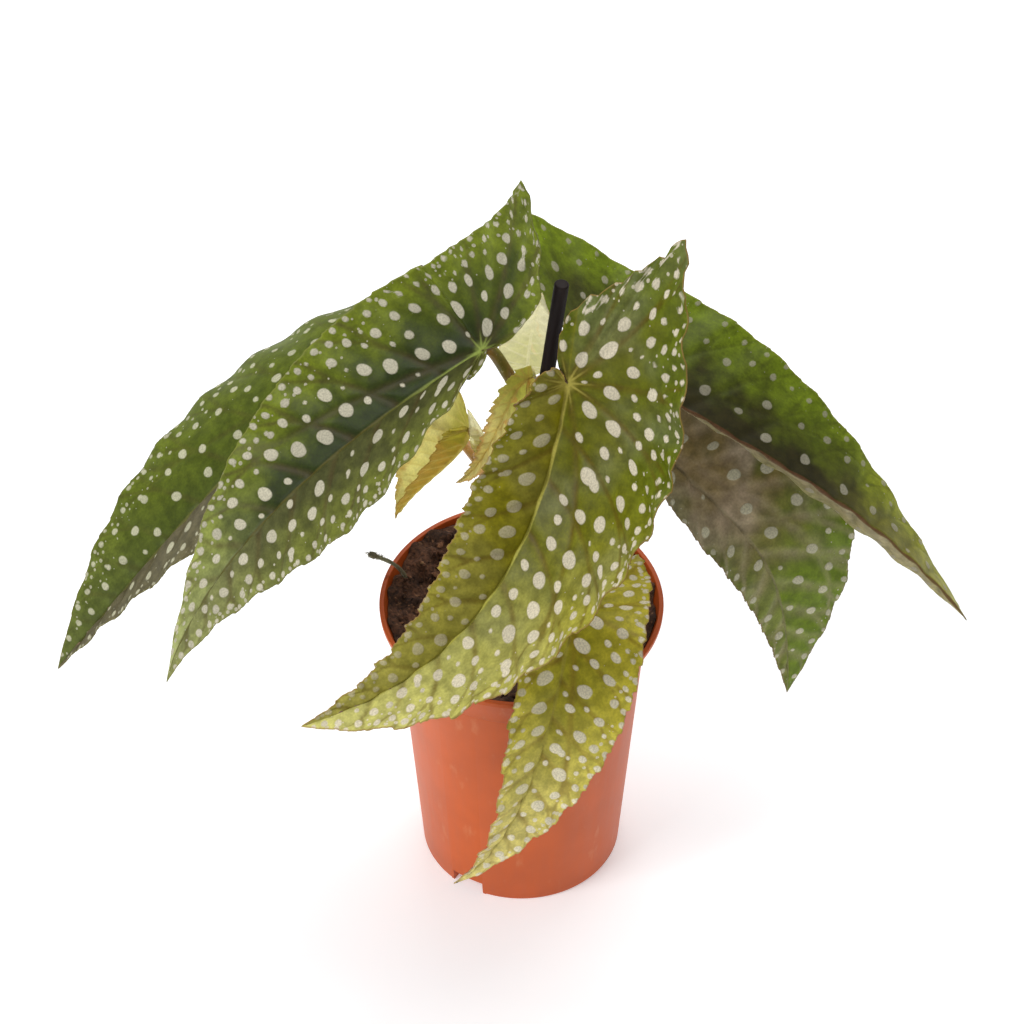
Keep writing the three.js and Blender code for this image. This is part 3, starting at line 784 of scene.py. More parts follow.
@dataclass(frozen=True)
class SpotRule:
    """How a leaf's spots are strewn: the largest first, then smaller ones in the gaps that are left."""

    largest: float  # radius in millimetres
    seed: int
    smallest: float = 0.9
    crowding: float = 1.3  # centres keep this many times their radii apart
    gap: float = 3.0  # and this much more, less where spots are small
    tries: int = 3600
    along_veins: float = 0.45  # how much longer they are by the junction
    twins: float = 0.05  # share of spots that have grown into a neighbour
    blister: float = 0.25  # how far a spot stands out of the blade

    OFF_MIDRIB = 1.0  # how far spots stay from the midrib, in millimetres
    OFF_JUNCTION = 6.0  # and from the stalk
    OUTERMOST = 0.985  # and from the margin, as a share of the way out
    TWIN_SIZE = 0.7
    TWIN_AWAY = 1.35  # how many radii a grown-on spot lies from its neighbour

    def strew(self, flat: FlatBlade) -> list[tuple]:
        """Places the spots, with a seeded draw.

        Args:
            flat: the blade that they lie on.

        Returns:
            Each spot's centre, radius, way along the veins, stretch that way, tone and ripples.
        """
        draw = np.random.default_rng(self.seed)
        wide = flat.shape.broad + flat.shape.narrow
        sides = np.where(draw.random(self.tries) < flat.shape.broad / wide, 1, -1)
        stations = draw.uniform(0.12, 1.97, self.tries)
        outs = np.sqrt(draw.uniform(0.01, 0.97, self.tries))
        places = flat.at(sides, stations, outs)
        ways = unit(flat.at(sides, stations, outs + 0.02) - places)
        order = np.linspace(1, 0, self.tries) ** 1.7
        middle = smooth(1.02, 0.35, outs) * smooth(1.0, 0.45, np.clip(stations - 1, 0, 1))
        limit = self.smallest + (self.largest - self.smallest) * (0.25 + 0.75 * middle)
        radii = self.smallest + (limit - self.smallest) * order * draw.uniform(0.8, 1.0, self.tries)
        kept: list[int] = []
        for i in range(self.tries):
            radius = radii[i]
            if abs(places[i, 1]) < radius + self.OFF_MIDRIB or outs[i] > self.OUTERMOST:
                continue
            if np.hypot(*places[i]) < radius + self.OFF_JUNCTION:
                continue
            apart = np.linalg.norm(places[kept] - places[i], axis=1)
            room = self.crowding * (radii[kept] + radius) + self.gap * limit[i] / self.largest
            if len(kept) and np.min(apart - room) < 0:
                continue
            kept.append(i)
        twins = [i for i in kept if draw.random() < self.twins]
        picked = [*kept, *twins]
        grown_on = places[twins] + ways[twins] * radii[twins][:, None] * self.TWIN_AWAY
        centres = np.vstack([places[kept], grown_on])
        sizes = np.concatenate([radii[kept], radii[twins] * self.TWIN_SIZE])
        near = np.exp(-np.linalg.norm(centres, axis=1) / 38)
        stretches = 1 + self.along_veins * near + draw.uniform(0.02, 0.3, len(picked))
        tones = draw.uniform(0.84, 1.04, len(picked))
        phases = draw.uniform(0, 2 * math.pi, (len(picked), 3))
        return list(zip(centres, sizes, ways[picked], stretches, tones, phases))

    def measure(self, flat: FlatBlade, places: Array) -> tuple[Array, Array]:
        """Measures how far inside or outside the nearest spot's edge each place lies.

        Args:
            flat: the blade that the spots lie on.
            places: flat places.

        Returns:
            The distances in millimetres, inside positive, and that spot's tone.
        """
        best = np.full(len(places), -9.0)
        tone = np.ones(len(places))
        for centre, radius, way, stretch, own, phase in self.strew(flat):
            apart = places - centre
            near = np.flatnonzero(np.abs(apart).max(axis=1) < 2.5 * radius + 2)
            along = apart[near] @ way / math.sqrt(stretch)
            across = (apart[near, 0] * way[1] - apart[near, 1] * way[0]) * math.sqrt(stretch)
            angle = np.arctan2(across, along)
            ripple = 0.05 * np.sin(2 * angle + phase[0]) + 0.035 * np.sin(3 * angle + phase[1])
            ripple += 0.012 * np.sin(5 * angle + phase[2])
            inside = radius * (1 + ripple) - np.hypot(along, across)
            better = inside > best[near]
            best[near[better]] = inside[better]
            tone[near[better]] = own
        return best, tone


class BentBlade:
    """Bends flat places into space."""

    SAMPLES = 801

    def __init__(self, shape: LeafShape) -> None:
        """Samples the midrib.

        Args:
            shape: the leaf's form.
        """
        self.shape = shape
        share = np.linspace(0, 1, self.SAMPLES)[:, None]
        a, b, c, d = (np.array(p, float) for p in (shape.junction, shape.rise, shape.reach, shape.tip))
        self.points = (1 - share) ** 3 * a + 3 * (1 - share) ** 2 * share * b
        self.points += 3 * (1 - share) * share**2 * c + share**3 * d
        self.along = unit(
            (1 - share) ** 2 * (b - a) + 2 * (1 - share) * share * (c - b) + share**2 * (d - c)
        )
        self.run = lengths(self.points)
        self.length = float(self.run[-1])

    def frame(self, share: Array) -> tuple[Array, Array, Array, Array]:
        """Gives the midrib's place and axes.

        Args:
            share: shares of the way along the midrib.

        Returns:
            Points, and directions along the midrib, up out of the blade and towards the broad half.
        """
        at = np.clip(share, 0, 1) * self.length
        points = sampled(at, self.run, self.points)
        along = unit(sampled(at, self.run, self.along))
        first, last = (facing(f) for f in self.shape.facing)
        lean = (at / self.length)[..., None]
        up = first * (1 - lean) + last * lean
        up = unit(up - along * np.sum(up * along, -1, keepdims=True))
        return points, along, up, np.cross(along, up) * self.shape.broad_side

    def place(self, flat: Array, half: Array, lift: Array) -> Array:
        """Bends flat places.

        Args:
            flat: places as u and v.
            half: 1 for those on the broad half and -1 for those on the narrow one.
            lift: how far each stands off the blade.

        Returns:
            The places in space, in millimetres.
        """
        u, v = flat[:, 0], flat[:, 1]
        share = np.clip(u / self.length, 0, 1)
        points, along, up, side = self.frame(share)
        bend = math.radians(self.shape.droop) / 60 or 1e-6
        turn = (np.maximum(-u, 0) * bend)[:, None]
        points = points - along * np.sin(turn) / bend + up * (np.cos(turn) - 1) / bend
        up = up * np.cos(turn) - along * np.sin(turn)
        broad = half > 0
        fold_broad, fold_narrow = (
            np.radians(f[0] + (f[1] - f[0]) * share) for f in (self.shape.fold_broad, self.shape.fold_narrow)
        )
        fold = np.where(broad, fold_broad, fold_narrow)
        curl = np.where(broad, *(math.radians(c) / 50 or 1e-6 for c in self.shape.curl))
        lean = fold + curl * half * v
        points = points + side * (half * (np.sin(lean) - np.sin(fold)) / curl)[:, None]
        points = points + up * ((np.cos(fold) - np.cos(lean)) / curl)[:, None]
        face = up * np.cos(lean)[:, None] - side * (half * np.sin(lean))[:, None]
        return points + face * lift[:, None]


def object_from(name: str, mesh: Mesh, *materials: Material) -> Object:
    """Puts a finished mesh in the scene.

    Args:
        name: the piece's name.
        mesh: its mesh, already in place and in metres.
        *materials: its material slots.

    Returns:
        The object, at the origin.
    """
    piece = bpy.data.objects.new(name, mesh)
    bpy.context.collection.objects.link(piece)
    for material in materials:
        mesh.materials.append(material)
    return piece


def claim(piece: Object, slot: str, *nodes: str) -> None:
    """Fastens a piece to the model.

    Args:
        piece: the piece.
        slot: the model's material slot for the piece; not used.
        *nodes: the nodes that it stands for.
    """
    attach(piece, BODY)
    if nodes:
        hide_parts(*nodes)
    LOG.info("%s: %d faces", piece.name, len(piece.data.polygons))


def shaped_grid(columns: int, rows: int, place: Callable[[Array, Array], Array]) -> Grid:
    """Makes a grid and moves each of its vertices.

    Args:
        columns: faces across.
        rows: faces along.
        place: gives places in metres from each vertex's column and row.

    Returns:
        The moved grid.
    """
    grid = bmesh.new()
    bmesh.ops.create_grid(grid, x_segments=columns, y_segments=rows, size=0.5)
    flat = np.array([v.co[:2] for v in grid.verts])
    column = np.rint((flat[:, 0] + 0.5) * columns).astype(int)
    row = np.rint((flat[:, 1] + 0.5) * rows).astype(int)
    for vertex, spot in zip(grid.verts, place(column, row)):
        vertex.co = spot
    return grid


@dataclass
class Leaf:
    """One leaf blade: a fine grid bent as the model's leaf is, with veins, spots and a ribbed back."""

    node: str
    slot: str
    skin: BladeSkin | YoungSkin
    back: BladeBack | None
    spots: SpotRule | None
    mesh: Fineness = LARGE_BLADE
    thickness: float = 0.42  # of the blade between its veins, in millimetres
    midrib: float = 2.0  # thickness at the midrib's root
    side_vein: float = 1.0
    quilting: float = 0.9  # how far the blade stands up between its veins

    RUN_IN = 6.0  # how far from the stalk the ribs have their full height, in millimetres
    QUILT = 3.0  # how far from its veins the blade has risen between them
    GROOVE = (0.35, 1.1)  # depth and width of the groove over the midrib
    BACK_RIB = 1.5  # width of the midrib on the back
    BACK_VEIN = 0.9  # and of the side veins
    STEPS = 24  # grades of thickness between the blade's and the midrib's

    def __post_init__(self) -> None:
        """Works out the flat blade and its bend."""
        self.shape = SHAPES[self.node]
        self.bent = BentBlade(self.shape)
        self.flat = FlatBlade(self.shape, self.bent.length, self.mesh)

    def build(self) -> None:
        """Builds and dresses the blade."""
        columns = self.mesh.narrow + self.mesh.broad
        rows = len(self.flat.stations) - 1
        store: dict[Trait, Array] = {}
        maps: list[Array] = []

        def place(column: Array, row: Array) -> Array:
            half = np.where(column >= self.mesh.narrow, 1, -1)
            steps = np.where(half > 0, self.mesh.broad, self.mesh.narrow)
            out = np.abs(column - self.mesh.narrow) / steps
            station = self.flat.stations[row]
            flat = self.flat.at(half, station, out)
            maps.append(flat)
            return self.bent.place(flat, half, self.traits(store, flat, half, station, out)) * MM

        grid = shaped_grid(columns, rows, place)
        if self.shape.broad_side < 0:
            bmesh.ops.reverse_faces(grid, faces=grid.faces)
        mesh = bpy.data.meshes.new(self.node)
        grid.to_mesh(mesh)
        grid.free()
        self.write_traits(mesh, store, maps[0])
        self.close_fan(mesh)
        materials = [skin.material() for skin in (self.skin, self.back) if skin]
        leaf = object_from(f"{self.node}_blade", mesh, *materials)
        self.thicken(leaf)
        mesh.polygons.foreach_set("use_smooth", [True] * len(mesh.polygons))
        claim(leaf, self.slot, self.node)

    def traits(
        self, store: dict[Trait, Array], flat: Array, half: Array, station: Array, out: Array
    ) -> Array:
        """Works out what the material needs, and the fine relief.

        Args:
            store: takes the numbers for each trait.
            flat: flat places.
            half: 1 on the broad half and -1 on the narrow one.
            station: the row of each place.
            out: the share of the way to the margin.

        Returns:
            How far each place stands off the bent blade, in millimetres.
        """
        share = np.clip(flat[:, 0] / self.bent.length, 0, 1)
        vein = self.flat.vein_distance(half, flat, out)
        away = np.hypot(flat[:, 0], flat[:, 1])
        rib = np.where(flat[:, 0] < 0, away, np.abs(flat[:, 1])) / (1.25 - share)
        store[Trait.VEIN], store[Trait.RIB], store[Trait.JUNCTION] = vein, rib, away
        store[Trait.OUT], store[Trait.ALONG] = out, share
        store[Trait.EDGE] = np.linalg.norm(self.flat.read("margin", half, station) - flat, axis=1)
        store[Trait.HALF] = smooth(-1, 1, half * np.abs(flat[:, 1]))
        lift = self.flat.read("wave", half, station)[:, 0] * out**2
        fade = smooth(0, self.RUN_IN, away) * smooth(1, 0.94, share)
        lift += self.quilting * fade * (1 - out) * (1 - hump(vein / self.QUILT))
        depth, width = self.GROOVE
        lift -= depth * fade * hump(rib / width)
        if self.spots:
            store[Trait.SPOT], store[Trait.TONE] = self.spots.measure(self.flat, flat)
            lift += self.spots.blister * smooth(-0.6, 1.0, store[Trait.SPOT])
        return lift

    def write_traits(self, mesh: Mesh, store: dict[Trait, Array], flat: Array) -> None:
        """Stores the traits and the flat map on the mesh.

        Args:
            mesh: the blade's mesh.
            store: the numbers for each trait.
            flat: the flat places.
        """
        for trait, values in store.items():
            mesh.attributes.new(trait.value, "FLOAT", "POINT").data.foreach_set("value", values.astype(float))
        corners = np.empty(len(mesh.loops), int)
        mesh.loops.foreach_get("vertex_index", corners)
        flat_map = mesh.uv_layers.new(name=BLADE_MAP)
        flat_map.data.foreach_set("uv", (flat[corners] * MM).ravel())

    def close_fan(self, mesh: Mesh) -> None:
        """Joins the vertices that meet at the junction and at the tip."""
        shell = bmesh.new()
        shell.from_mesh(mesh)
        bmesh.ops.remove_doubles(shell, verts=shell.verts, dist=0.02 * MM)
        bmesh.ops.dissolve_degenerate(shell, edges=shell.edges, dist=0.005 * MM)
        shell.to_mesh(mesh)
        shell.free()

    def thicken(self, leaf: Object) -> None:
        """Gives the open blade its back, thick where the veins stand out of it.

        Args:
            leaf: the blade.
        """
        mesh = leaf.data
        count = len(mesh.vertices)
        values = {}
        for trait in (Trait.VEIN, Trait.RIB, Trait.OUT, Trait.ALONG, Trait.JUNCTION):
            values[trait] = np.empty(count)
            mesh.attributes[trait.value].data.foreach_get("value", values[trait])
        along = values[Trait.ALONG]
        ends = smooth(0.5, self.RUN_IN, values[Trait.JUNCTION]) * smooth(1, 0.9, along)
        rib = (self.midrib - self.thickness) * (1 - 0.6 * along) * hump(values[Trait.RIB] / self.BACK_RIB)
        vein = (self.side_vein - self.thickness) * hump(values[Trait.VEIN] / self.BACK_VEIN)
        extra = np.maximum(rib, vein * (1 - 0.7 * values[Trait.OUT])) * ends
        weights = np.clip(extra / (self.midrib - self.thickness), 0, 1)
        group = leaf.vertex_groups.new(name="thickness")
        steps = np.rint(weights * self.STEPS).astype(int)
        for step in np.unique(steps):
            group.add(np.flatnonzero(steps == step).tolist(), float(step) / self.STEPS, "REPLACE")
        wall = leaf.modifiers.new("back", "SOLIDIFY")
        wall.thickness = self.midrib * MM
        wall.vertex_group = group.name
        wall.thickness_vertex_group = self.thickness / self.midrib
        wall.offset = -1
        wall.material_offset = len(mesh.materials) - 1
        wall.material_offset_rim = 0
        wall.use_even_offset = False


class Tube:
    """A round stem that follows a line of points."""

    def __init__(
        self, points: list[Point], radius: Callable[[Array], Array], sides: int, steps: int
    ) -> None:
        """Works out the line.

        Args:
            points: the points that it runs through, in millimetres.
            radius: gives its radius from shares of its length.
            sides: faces round it.
            steps: faces along it.
        """
        self.line = smooth_line(points, 0.5)
        self.run = lengths(self.line)
        self.radius = radius
        self.sides = sides
        self.steps = steps

    def at(self, share: Array) -> Array:
        """Gives points on the line."""
        return sampled(np.clip(share, 0, 1) * self.run[-1], self.run, self.line)

    def grid(self) -> Grid:
        """Bends a grid round the line, joins its seam and closes its ends.

        Returns:
            The closed tube.
        """
        shares = np.linspace(0, 1, self.steps + 1)
        centres = self.at(shares)
        ways = unit(self.at(shares + 0.004) - self.at(shares - 0.004))
        across = np.cross(ways[0], (0.0, 1.0, 0.0) if abs(ways[0][1]) < 0.9 else (1.0, 0.0, 0.0))
        firsts = []
        for way in ways:
            across = across - way * np.dot(across, way)
            across = across / np.linalg.norm(across)
            firsts.append(across)
        first = np.array(firsts)
        second = np.cross(ways, first)
        radii = self.radius(shares)

        def place(column: Array, row: Array) -> Array:
            turn = 2 * math.pi * (column % self.sides) / self.sides
            reach = first[row] * np.cos(turn)[:, None] + second[row] * np.sin(turn)[:, None]
            return (centres[row] + reach * radii[row][:, None]) * MM

        tube = shaped_grid(self.sides, self.steps, place)
        bmesh.ops.remove_doubles(tube, verts=tube.verts, dist=0.001 * MM)
        bmesh.ops.holes_fill(tube, edges=[e for e in tube.edges if e.is_boundary], sides=self.sides)
        bmesh.ops.recalc_face_normals(tube, faces=tube.faces)
        return tube


def solid(name: str, parts: list[Grid], material: Material | None = None, sharp: float = 40.0) -> Object:
    """Joins finished parts in one piece.

    Args:
        name: the piece's name.
        parts: the parts, which are used up.
        material: its finish.
        sharp: edges that turn by more than this many degrees stay sharp.

    Returns:
        The piece, at the origin.
    """
    whole = bmesh.new()
    for part in parts:
        one = bpy.data.meshes.new("part")
        part.to_mesh(one)
        part.free()
        whole.from_mesh(one)
        bpy.data.meshes.remove(one)
    mesh = bpy.data.meshes.new(name)
    whole.to_mesh(mesh)
    whole.free()
    round_off(mesh, sharp)
    return object_from(name, mesh, *([material] if material else []))


def round_off(mesh: Mesh, sharp: float) -> None:
    """Shades a mesh smoothly, but for the edges that turn by more than so many degrees."""
    mesh.polygons.foreach_set("use_smooth", [True] * len(mesh.polygons))
    mesh.set_sharp_from_angle(angle=math.radians(sharp))


@dataclass
class Stalk:
    """A leaf's stalk, from the cane to the junction of its blade."""

    leaf: str
    points: list[Point]
    radius: Pair
    approach: Point = (0, 0, -1)  # along the midrib, towards the broad half, up from the face

    SEAT = 0.3  # how far under the middle of the blade it ends
    RUN_IN = 4.7

    def grid(self) -> Grid:
        """Builds the stalk, wider where it leaves the cane.

        Returns:
            The closed tube.
        """
        point, along, up, side = (row[0] for row in BentBlade(SHAPES[self.leaf]).frame(np.zeros(1)))
        onward, outward, upward = self.approach
        way = unit(along * onward + side * outward + up * upward)
        ends = [tuple(point + way * away) for away in (self.RUN_IN, self.SEAT)]
        first, last = self.radius

        def radius(share: Array) -> Array:
            taper = first + (last - first) * share
            return taper * (1 + 0.3 * hump(share / 0.12)) * (1 - 0.45 * smooth(0.93, 1, share))

        return Tube([*self.points, *ends], radius, 16, 36).grid()


@dataclass
class Cane:
    """An upright cane with a ring at each node, and the stalks that leave it."""

    node: str
    points: list[Point]
    foot: float
    top: float
    swell: float
    nodes: tuple[float, ...]
    stalks: list[Stalk]
    skin: Stem

    SCAR = 0.3  # height of the ring left by a fallen sheath
    SCAR_WIDTH = 0.007  # as a share of the cane's length
    SWELL_WIDTH = 0.03

    def radius(self, share: Array) -> Array:
        """Gives the cane's radius at shares of its length."""
        nearest = np.min([np.abs(share - node) for node in self.nodes], axis=0)
        taper = self.foot + (self.top - self.foot) * share
        body = taper * (1 + self.swell * hump(nearest / self.SWELL_WIDTH))
        return body + self.SCAR * hump(nearest / self.SCAR_WIDTH)

    def build(self) -> None:
        """Builds and dresses the cane with its stalks."""
        cane = Tube(self.points, self.radius, 20, 150).grid()
        parts = [cane, *(stalk.grid() for stalk in self.stalks)]
        claim(solid(f"{self.node}_stem", parts, self.skin.material()), "cane", self.node)


@dataclass
class Pot:
    """The moulded nursery pot."""

    skin: MouldedPlastic
    height: float = 141
    rim_radius: float = 60
    base_radius: float = 43
    wall: float = 1.4
    rim_wall: float = 2.1
    band: float = 18
    band_low_radius: float = 54
    body_top_radius: float = 52.4
    lip: float = 0.9
    lip_depth: float = 2.4
    floor: float = 1.6
    recesses: int = 2
    recess_first: float = -123
    recess_size: Point = (9, 15, 7)
    drain_ring: float = 24
    drain_radius: float = 3.5
    drain_holes: int = 6
    steps: int = 160

    @property
    def body_top(self) -> float:
        """Height of the step under the band."""
        return self.height - self.band

    def inner_radius(self, z: float) -> float:
        """Gives the wall's inner radius at a height."""
        if z < self.body_top:
            taper = (self.body_top_radius - self.base_radius) / self.body_top
            return self.base_radius + taper * z - self.wall
        share = (z - self.body_top) / self.band
        low = self.body_top_radius - self.wall
        return low + (self.rim_radius - self.rim_wall - low) * share

    def profile(self) -> list[Pair]:
        """Gives the wall's section as radius and height, from the underside round to the floor."""
        top, half = self.height, self.lip / 2
        bead = [
            (self.rim_radius - half + half * math.cos(a), top - half + half * math.sin(a))
            for a in np.radians(np.arange(0, 91, 18))
        ]
        inner = self.rim_radius - self.rim_wall
        inner_bead = [
            (inner + half - half * math.cos(a), top - half + half * math.sin(a))
            for a in np.radians(np.arange(90, -1, -18))
        ]
        return [
            (0, 0), (self.base_radius - 1.2, 0), (self.base_radius - 0.35, 0.3), (self.base_radius, 1.1),
            (self.body_top_radius, self.body_top - 0.6), (self.body_top_radius + 0.25, self.body_top),
            (self.band_low_radius - 0.35, self.body_top), (self.band_low_radius, self.body_top + 0.4),
            (self.rim_radius - self.lip, top - self.lip_depth - 0.5),
            (self.rim_radius - 0.15, top - self.lip_depth + 0.1), *bead, *inner_bead,
            (self.inner_radius(self.body_top), self.body_top),
            (self.inner_radius(self.floor + 1), self.floor + 1),
            (self.inner_radius(self.floor) - 1, self.floor),
            (0, self.floor),
        ]  # fmt: skip

    def shell(self) -> Grid:
        """Turns the wall's section about the pot's axis."""
        shell = bmesh.new()
        corners = [shell.verts.new((r * MM, 0, z * MM)) for r, z in self.profile()]
        edges = [shell.edges.new(pair) for pair in zip(corners, corners[1:])]
        bmesh.ops.spin(
            shell, geom=[*corners, *edges], axis=(0, 0, 1), cent=(0, 0, 0),
            angle=2 * math.pi, steps=self.steps, use_merge=True,
        )  # fmt: skip
        bmesh.ops.remove_doubles(shell, verts=shell.verts, dist=0.01 * MM)
        bmesh.ops.recalc_face_normals(shell, faces=shell.faces)
        return shell

    def block(self, size: Point, number: int) -> Object:
        """Makes a block across the foot of the wall, at one of the drain recesses.

        Args:
            size: depth inwards, width, and height above the underside.
            number: which recess.

        Returns:
            The block.
        """
        deep, wide, high = (s * MM for s in size)
        box = bmesh.new()
        bmesh.ops.create_cube(box, size=1)
        bmesh.ops.scale(box, verts=box.verts, vec=(2 * deep, wide, 2 * high))
        bmesh.ops.translate(box, verts=box.verts, vec=(self.base_radius * MM, 0, 0))
        angle = self.recess_first + 360 / self.recesses * number
        turn = Matrix.Rotation(math.radians(angle), 3, "Z")
        bmesh.ops.rotate(box, verts=box.verts, matrix=turn, cent=(0, 0, 0))
        return solid("block", [box])

    def build(self) -> None:
        """Builds and dresses the pot."""
        pot = solid("pot_shell", [self.shell()], self.skin.material())
        for number in range(self.recesses):
            housing = self.housing(number)
            self.combine(housing, solid("envelope", [self.envelope()]), "INTERSECT")
            self.combine(pot, housing, "UNION")
            self.combine(pot, self.block(self.recess_size, number), "DIFFERENCE")
        for number in range(self.drain_holes):
            self.combine(pot, solid("drain", [self.drain(number)]), "DIFFERENCE")
        self.put_in_order(pot.data)
        round_off(pot.data, 28)
        claim(pot, "pot_plastic", "pot")

    def housing(self, number: int, gap: float = 0) -> Object:
        """Makes the block that a drain recess is cut from, with its wall and a gap round it."""
        around = np.multiply((1, 2, 1), self.wall + gap)
        return self.block(tuple(np.add(self.recess_size, around)), number)

    def envelope(self) -> Grid:
        """Makes the space that the pot's body fills, just under its outer face."""
        body = bmesh.new()
        bmesh.ops.create_cone(
            body, cap_ends=True, segments=self.steps, radius1=(self.base_radius - 0.3) * MM,
            radius2=(self.body_top_radius - 0.3) * MM, depth=self.body_top * MM,
        )  # fmt: skip
        bmesh.ops.translate(body, verts=body.verts, vec=(0, 0, self.body_top * MM / 2))
        return body

    def drain(self, number: int) -> Grid:
        """Makes the plug that cuts one drain hole."""
        turn = 2 * math.pi * number / self.drain_holes
        plug = bmesh.new()
        radius = self.drain_radius * MM
        bmesh.ops.create_cone(plug, cap_ends=True, segments=32, radius1=radius, radius2=radius, depth=8 * MM)
        ring = self.drain_ring * MM
        bmesh.ops.translate(plug, verts=plug.verts, vec=(ring * math.cos(turn), ring * math.sin(turn), 0))
        return plug

    def combine(self, piece: Object, tool: Object, way: str) -> None:
        """Cuts or joins a piece with a tool, for good.

        Args:
            piece: the piece that changes.
            tool: the other solid, which is used up.
            way: the Boolean modifier's operation.
        """
        step = piece.modifiers.new("step", "BOOLEAN")
        step.object = tool
        step.operation = way
        step.solver = "EXACT"
        graph = bpy.context.evaluated_depsgraph_get()
        result = bpy.data.meshes.new_from_object(piece.evaluated_get(graph))
        piece.modifiers.remove(step)
        piece.data = result
        bpy.data.objects.remove(tool)

    def put_in_order(self, mesh: Mesh) -> None:
        """Sorts a mesh's vertices and faces, whose order the solver leaves to chance.

        Args:
            mesh: the mesh, which is rewritten.
        """
        order = sorted(range(len(mesh.vertices)), key=lambda index: tuple(mesh.vertices[index].co))
        rank = {index: place for place, index in enumerate(order)}
        loops = []
        for face in mesh.polygons:
            loop = [rank[index] for index in face.vertices]
            first = loop.index(min(loop))
            loops.append(loop[first:] + loop[:first])
        shell = bmesh.new()
        corners = [shell.verts.new(mesh.vertices[index].co) for index in order]
        for loop in sorted(loops):
            shell.faces.new([corners[place] for place in loop])
        shell.to_mesh(mesh)
        shell.free()


@dataclass
class Soil:
    """The potting soil, with crumbs, bark chips and fibres on its face."""

    pot: Pot
    skin: Peat
    level: float = 134
    edge_rise: float = 3.2
    lump: float = 1.5
    heap_height: float = 4
    heap_at: Pair = (-36, 36)
    heap_spread: float = 16
    gap: float = 0.3
    rings: int = 60
    sides: int = 180
    lump_edge: float = 2.5  # how far lumps stay from the wall
    fibre_reach: float = 44  # where fibres begin, at most, from the pot's axis
    fibre_limit: float = 49  # and where they end
    seed: int = 11

    def height(self, x: Array, y: Array) -> Array:
        """Gives the height of the soil's face at places on it."""
        ripples = np.sin(0.31 * x + 1.3) * np.cos(0.27 * y - 0.4)
        ripples += 0.7 * np.sin(0.53 * x - 0.41 * y + 2.1) + 0.5 * np.cos(0.22 * x + 0.68 * y)
        outward = np.hypot(x, y) / self.pot.body_top_radius
        away = np.hypot(x - self.heap_at[0], y - self.heap_at[1])
        heap = self.heap_height * hump(away / self.heap_spread)
        return self.level + self.lump * ripples + self.edge_rise * outward**6 + heap

    def roughness(self, x: Array, y: Array) -> Array:
        """Gives the small unevenness of the soil's face."""
        bumps = 0.45 * np.sin(1.7 * x + 0.9 * y) * np.sin(1.3 * y - 0.6 * x + 1)
        return bumps + 0.3 * np.sin(3.1 * x - 2.3 * y + 2) * np.sin(2.7 * y + 1.9 * x)

    def build(self) -> None:
        """Builds and dresses the body of the soil."""
        inner = self.pot.inner_radius(self.level) - self.gap
        bottom = self.pot.floor + self.gap
        under = self.pot.inner_radius(bottom) - self.gap

        def place(column: Array, row: Array) -> Array:
            turn = 2 * math.pi * (column % self.sides) / self.sides
            radius = inner * np.minimum(row, self.rings) / self.rings
            x, y = radius * np.cos(turn), radius * np.sin(turn)
            fade = smooth(1.0, 0.92, radius / inner)
            z = np.maximum(self.height(x, y), self.pot.body_top + 1) + fade * self.roughness(x, y)
            wall = np.array([self.pot.inner_radius(h) - self.gap for h in z]) / inner
            spread = np.where(row <= self.rings, 1 + (wall - 1) * smooth(0.6, 1, radius / inner), 1)
            low = row > self.rings
            step = row - self.rings
            low_radius = np.select(
                [step == 1, step == 2], [self.pot.inner_radius(self.pot.body_top) - self.gap, under], 0.0
            )
            low_height = np.where(step == 1, self.pot.body_top, bottom)
            x = np.where(low, low_radius * np.cos(turn), x * spread)
            y = np.where(low, low_radius * np.sin(turn), y * spread)
            return np.stack([x, y, np.where(low, low_height, z)], -1) * MM

        body = shaped_grid(self.sides, self.rings + 3, place)
        bmesh.ops.remove_doubles(body, verts=body.verts, dist=0.005 * MM)
        bmesh.ops.recalc_face_normals(body, faces=body.faces)
        piece = solid("soil_body", [body], self.skin.material(), 60)
        for number in range(self.pot.recesses):
            self.pot.combine(piece, self.pot.housing(number, self.gap), "DIFFERENCE")
        claim(piece, "potting_soil", "soil")

    def strew(self, name: str, skin: Peat, count: int, size: Pair, flatness: float) -> None:
        """Strews lumps over the soil's face.

        Args:
            name: the piece's name.
            skin: its finish.
            count: how many lumps.
            size: the least and the greatest radius in millimetres.
            flatness: how flat they are, 1 being round.
        """
        draw = np.random.default_rng(self.seed + count)
        whole = bmesh.new()
        for _ in range(count):
            reach = (self.pot.inner_radius(self.level) - self.lump_edge) * math.sqrt(draw.uniform(0, 1))
            turn = draw.uniform(0, 2 * math.pi)
            radius = size[0] + (size[1] - size[0]) * draw.random() ** 2.5
            x, y = reach * math.cos(turn), reach * math.sin(turn)
            x, y = (c * (1 - radius / 80) for c in (x, y))
            z = float(self.height(np.array(x), np.array(y))) + 0.2 * radius
            lump = bmesh.ops.create_icosphere(whole, subdivisions=1, radius=radius * MM)["verts"]
            for vertex in lump:
                vertex.co *= draw.uniform(0.7, 1.25)
            bmesh.ops.scale(whole, verts=lump, vec=(1, draw.uniform(0.45, 0.9), flatness))
            turn = Matrix.Rotation(draw.uniform(0, 6.3), 3, "Z")
            tilt = Matrix.Rotation(draw.normal(0, 0.35), 3, "X")
            bmesh.ops.rotate(whole, verts=lump, matrix=turn @ tilt, cent=(0, 0, 0))
            bmesh.ops.translate(whole, verts=lump, vec=(x * MM, y * MM, z * MM))
        claim(solid(name, [whole], skin.material(), 30), "potting_soil")

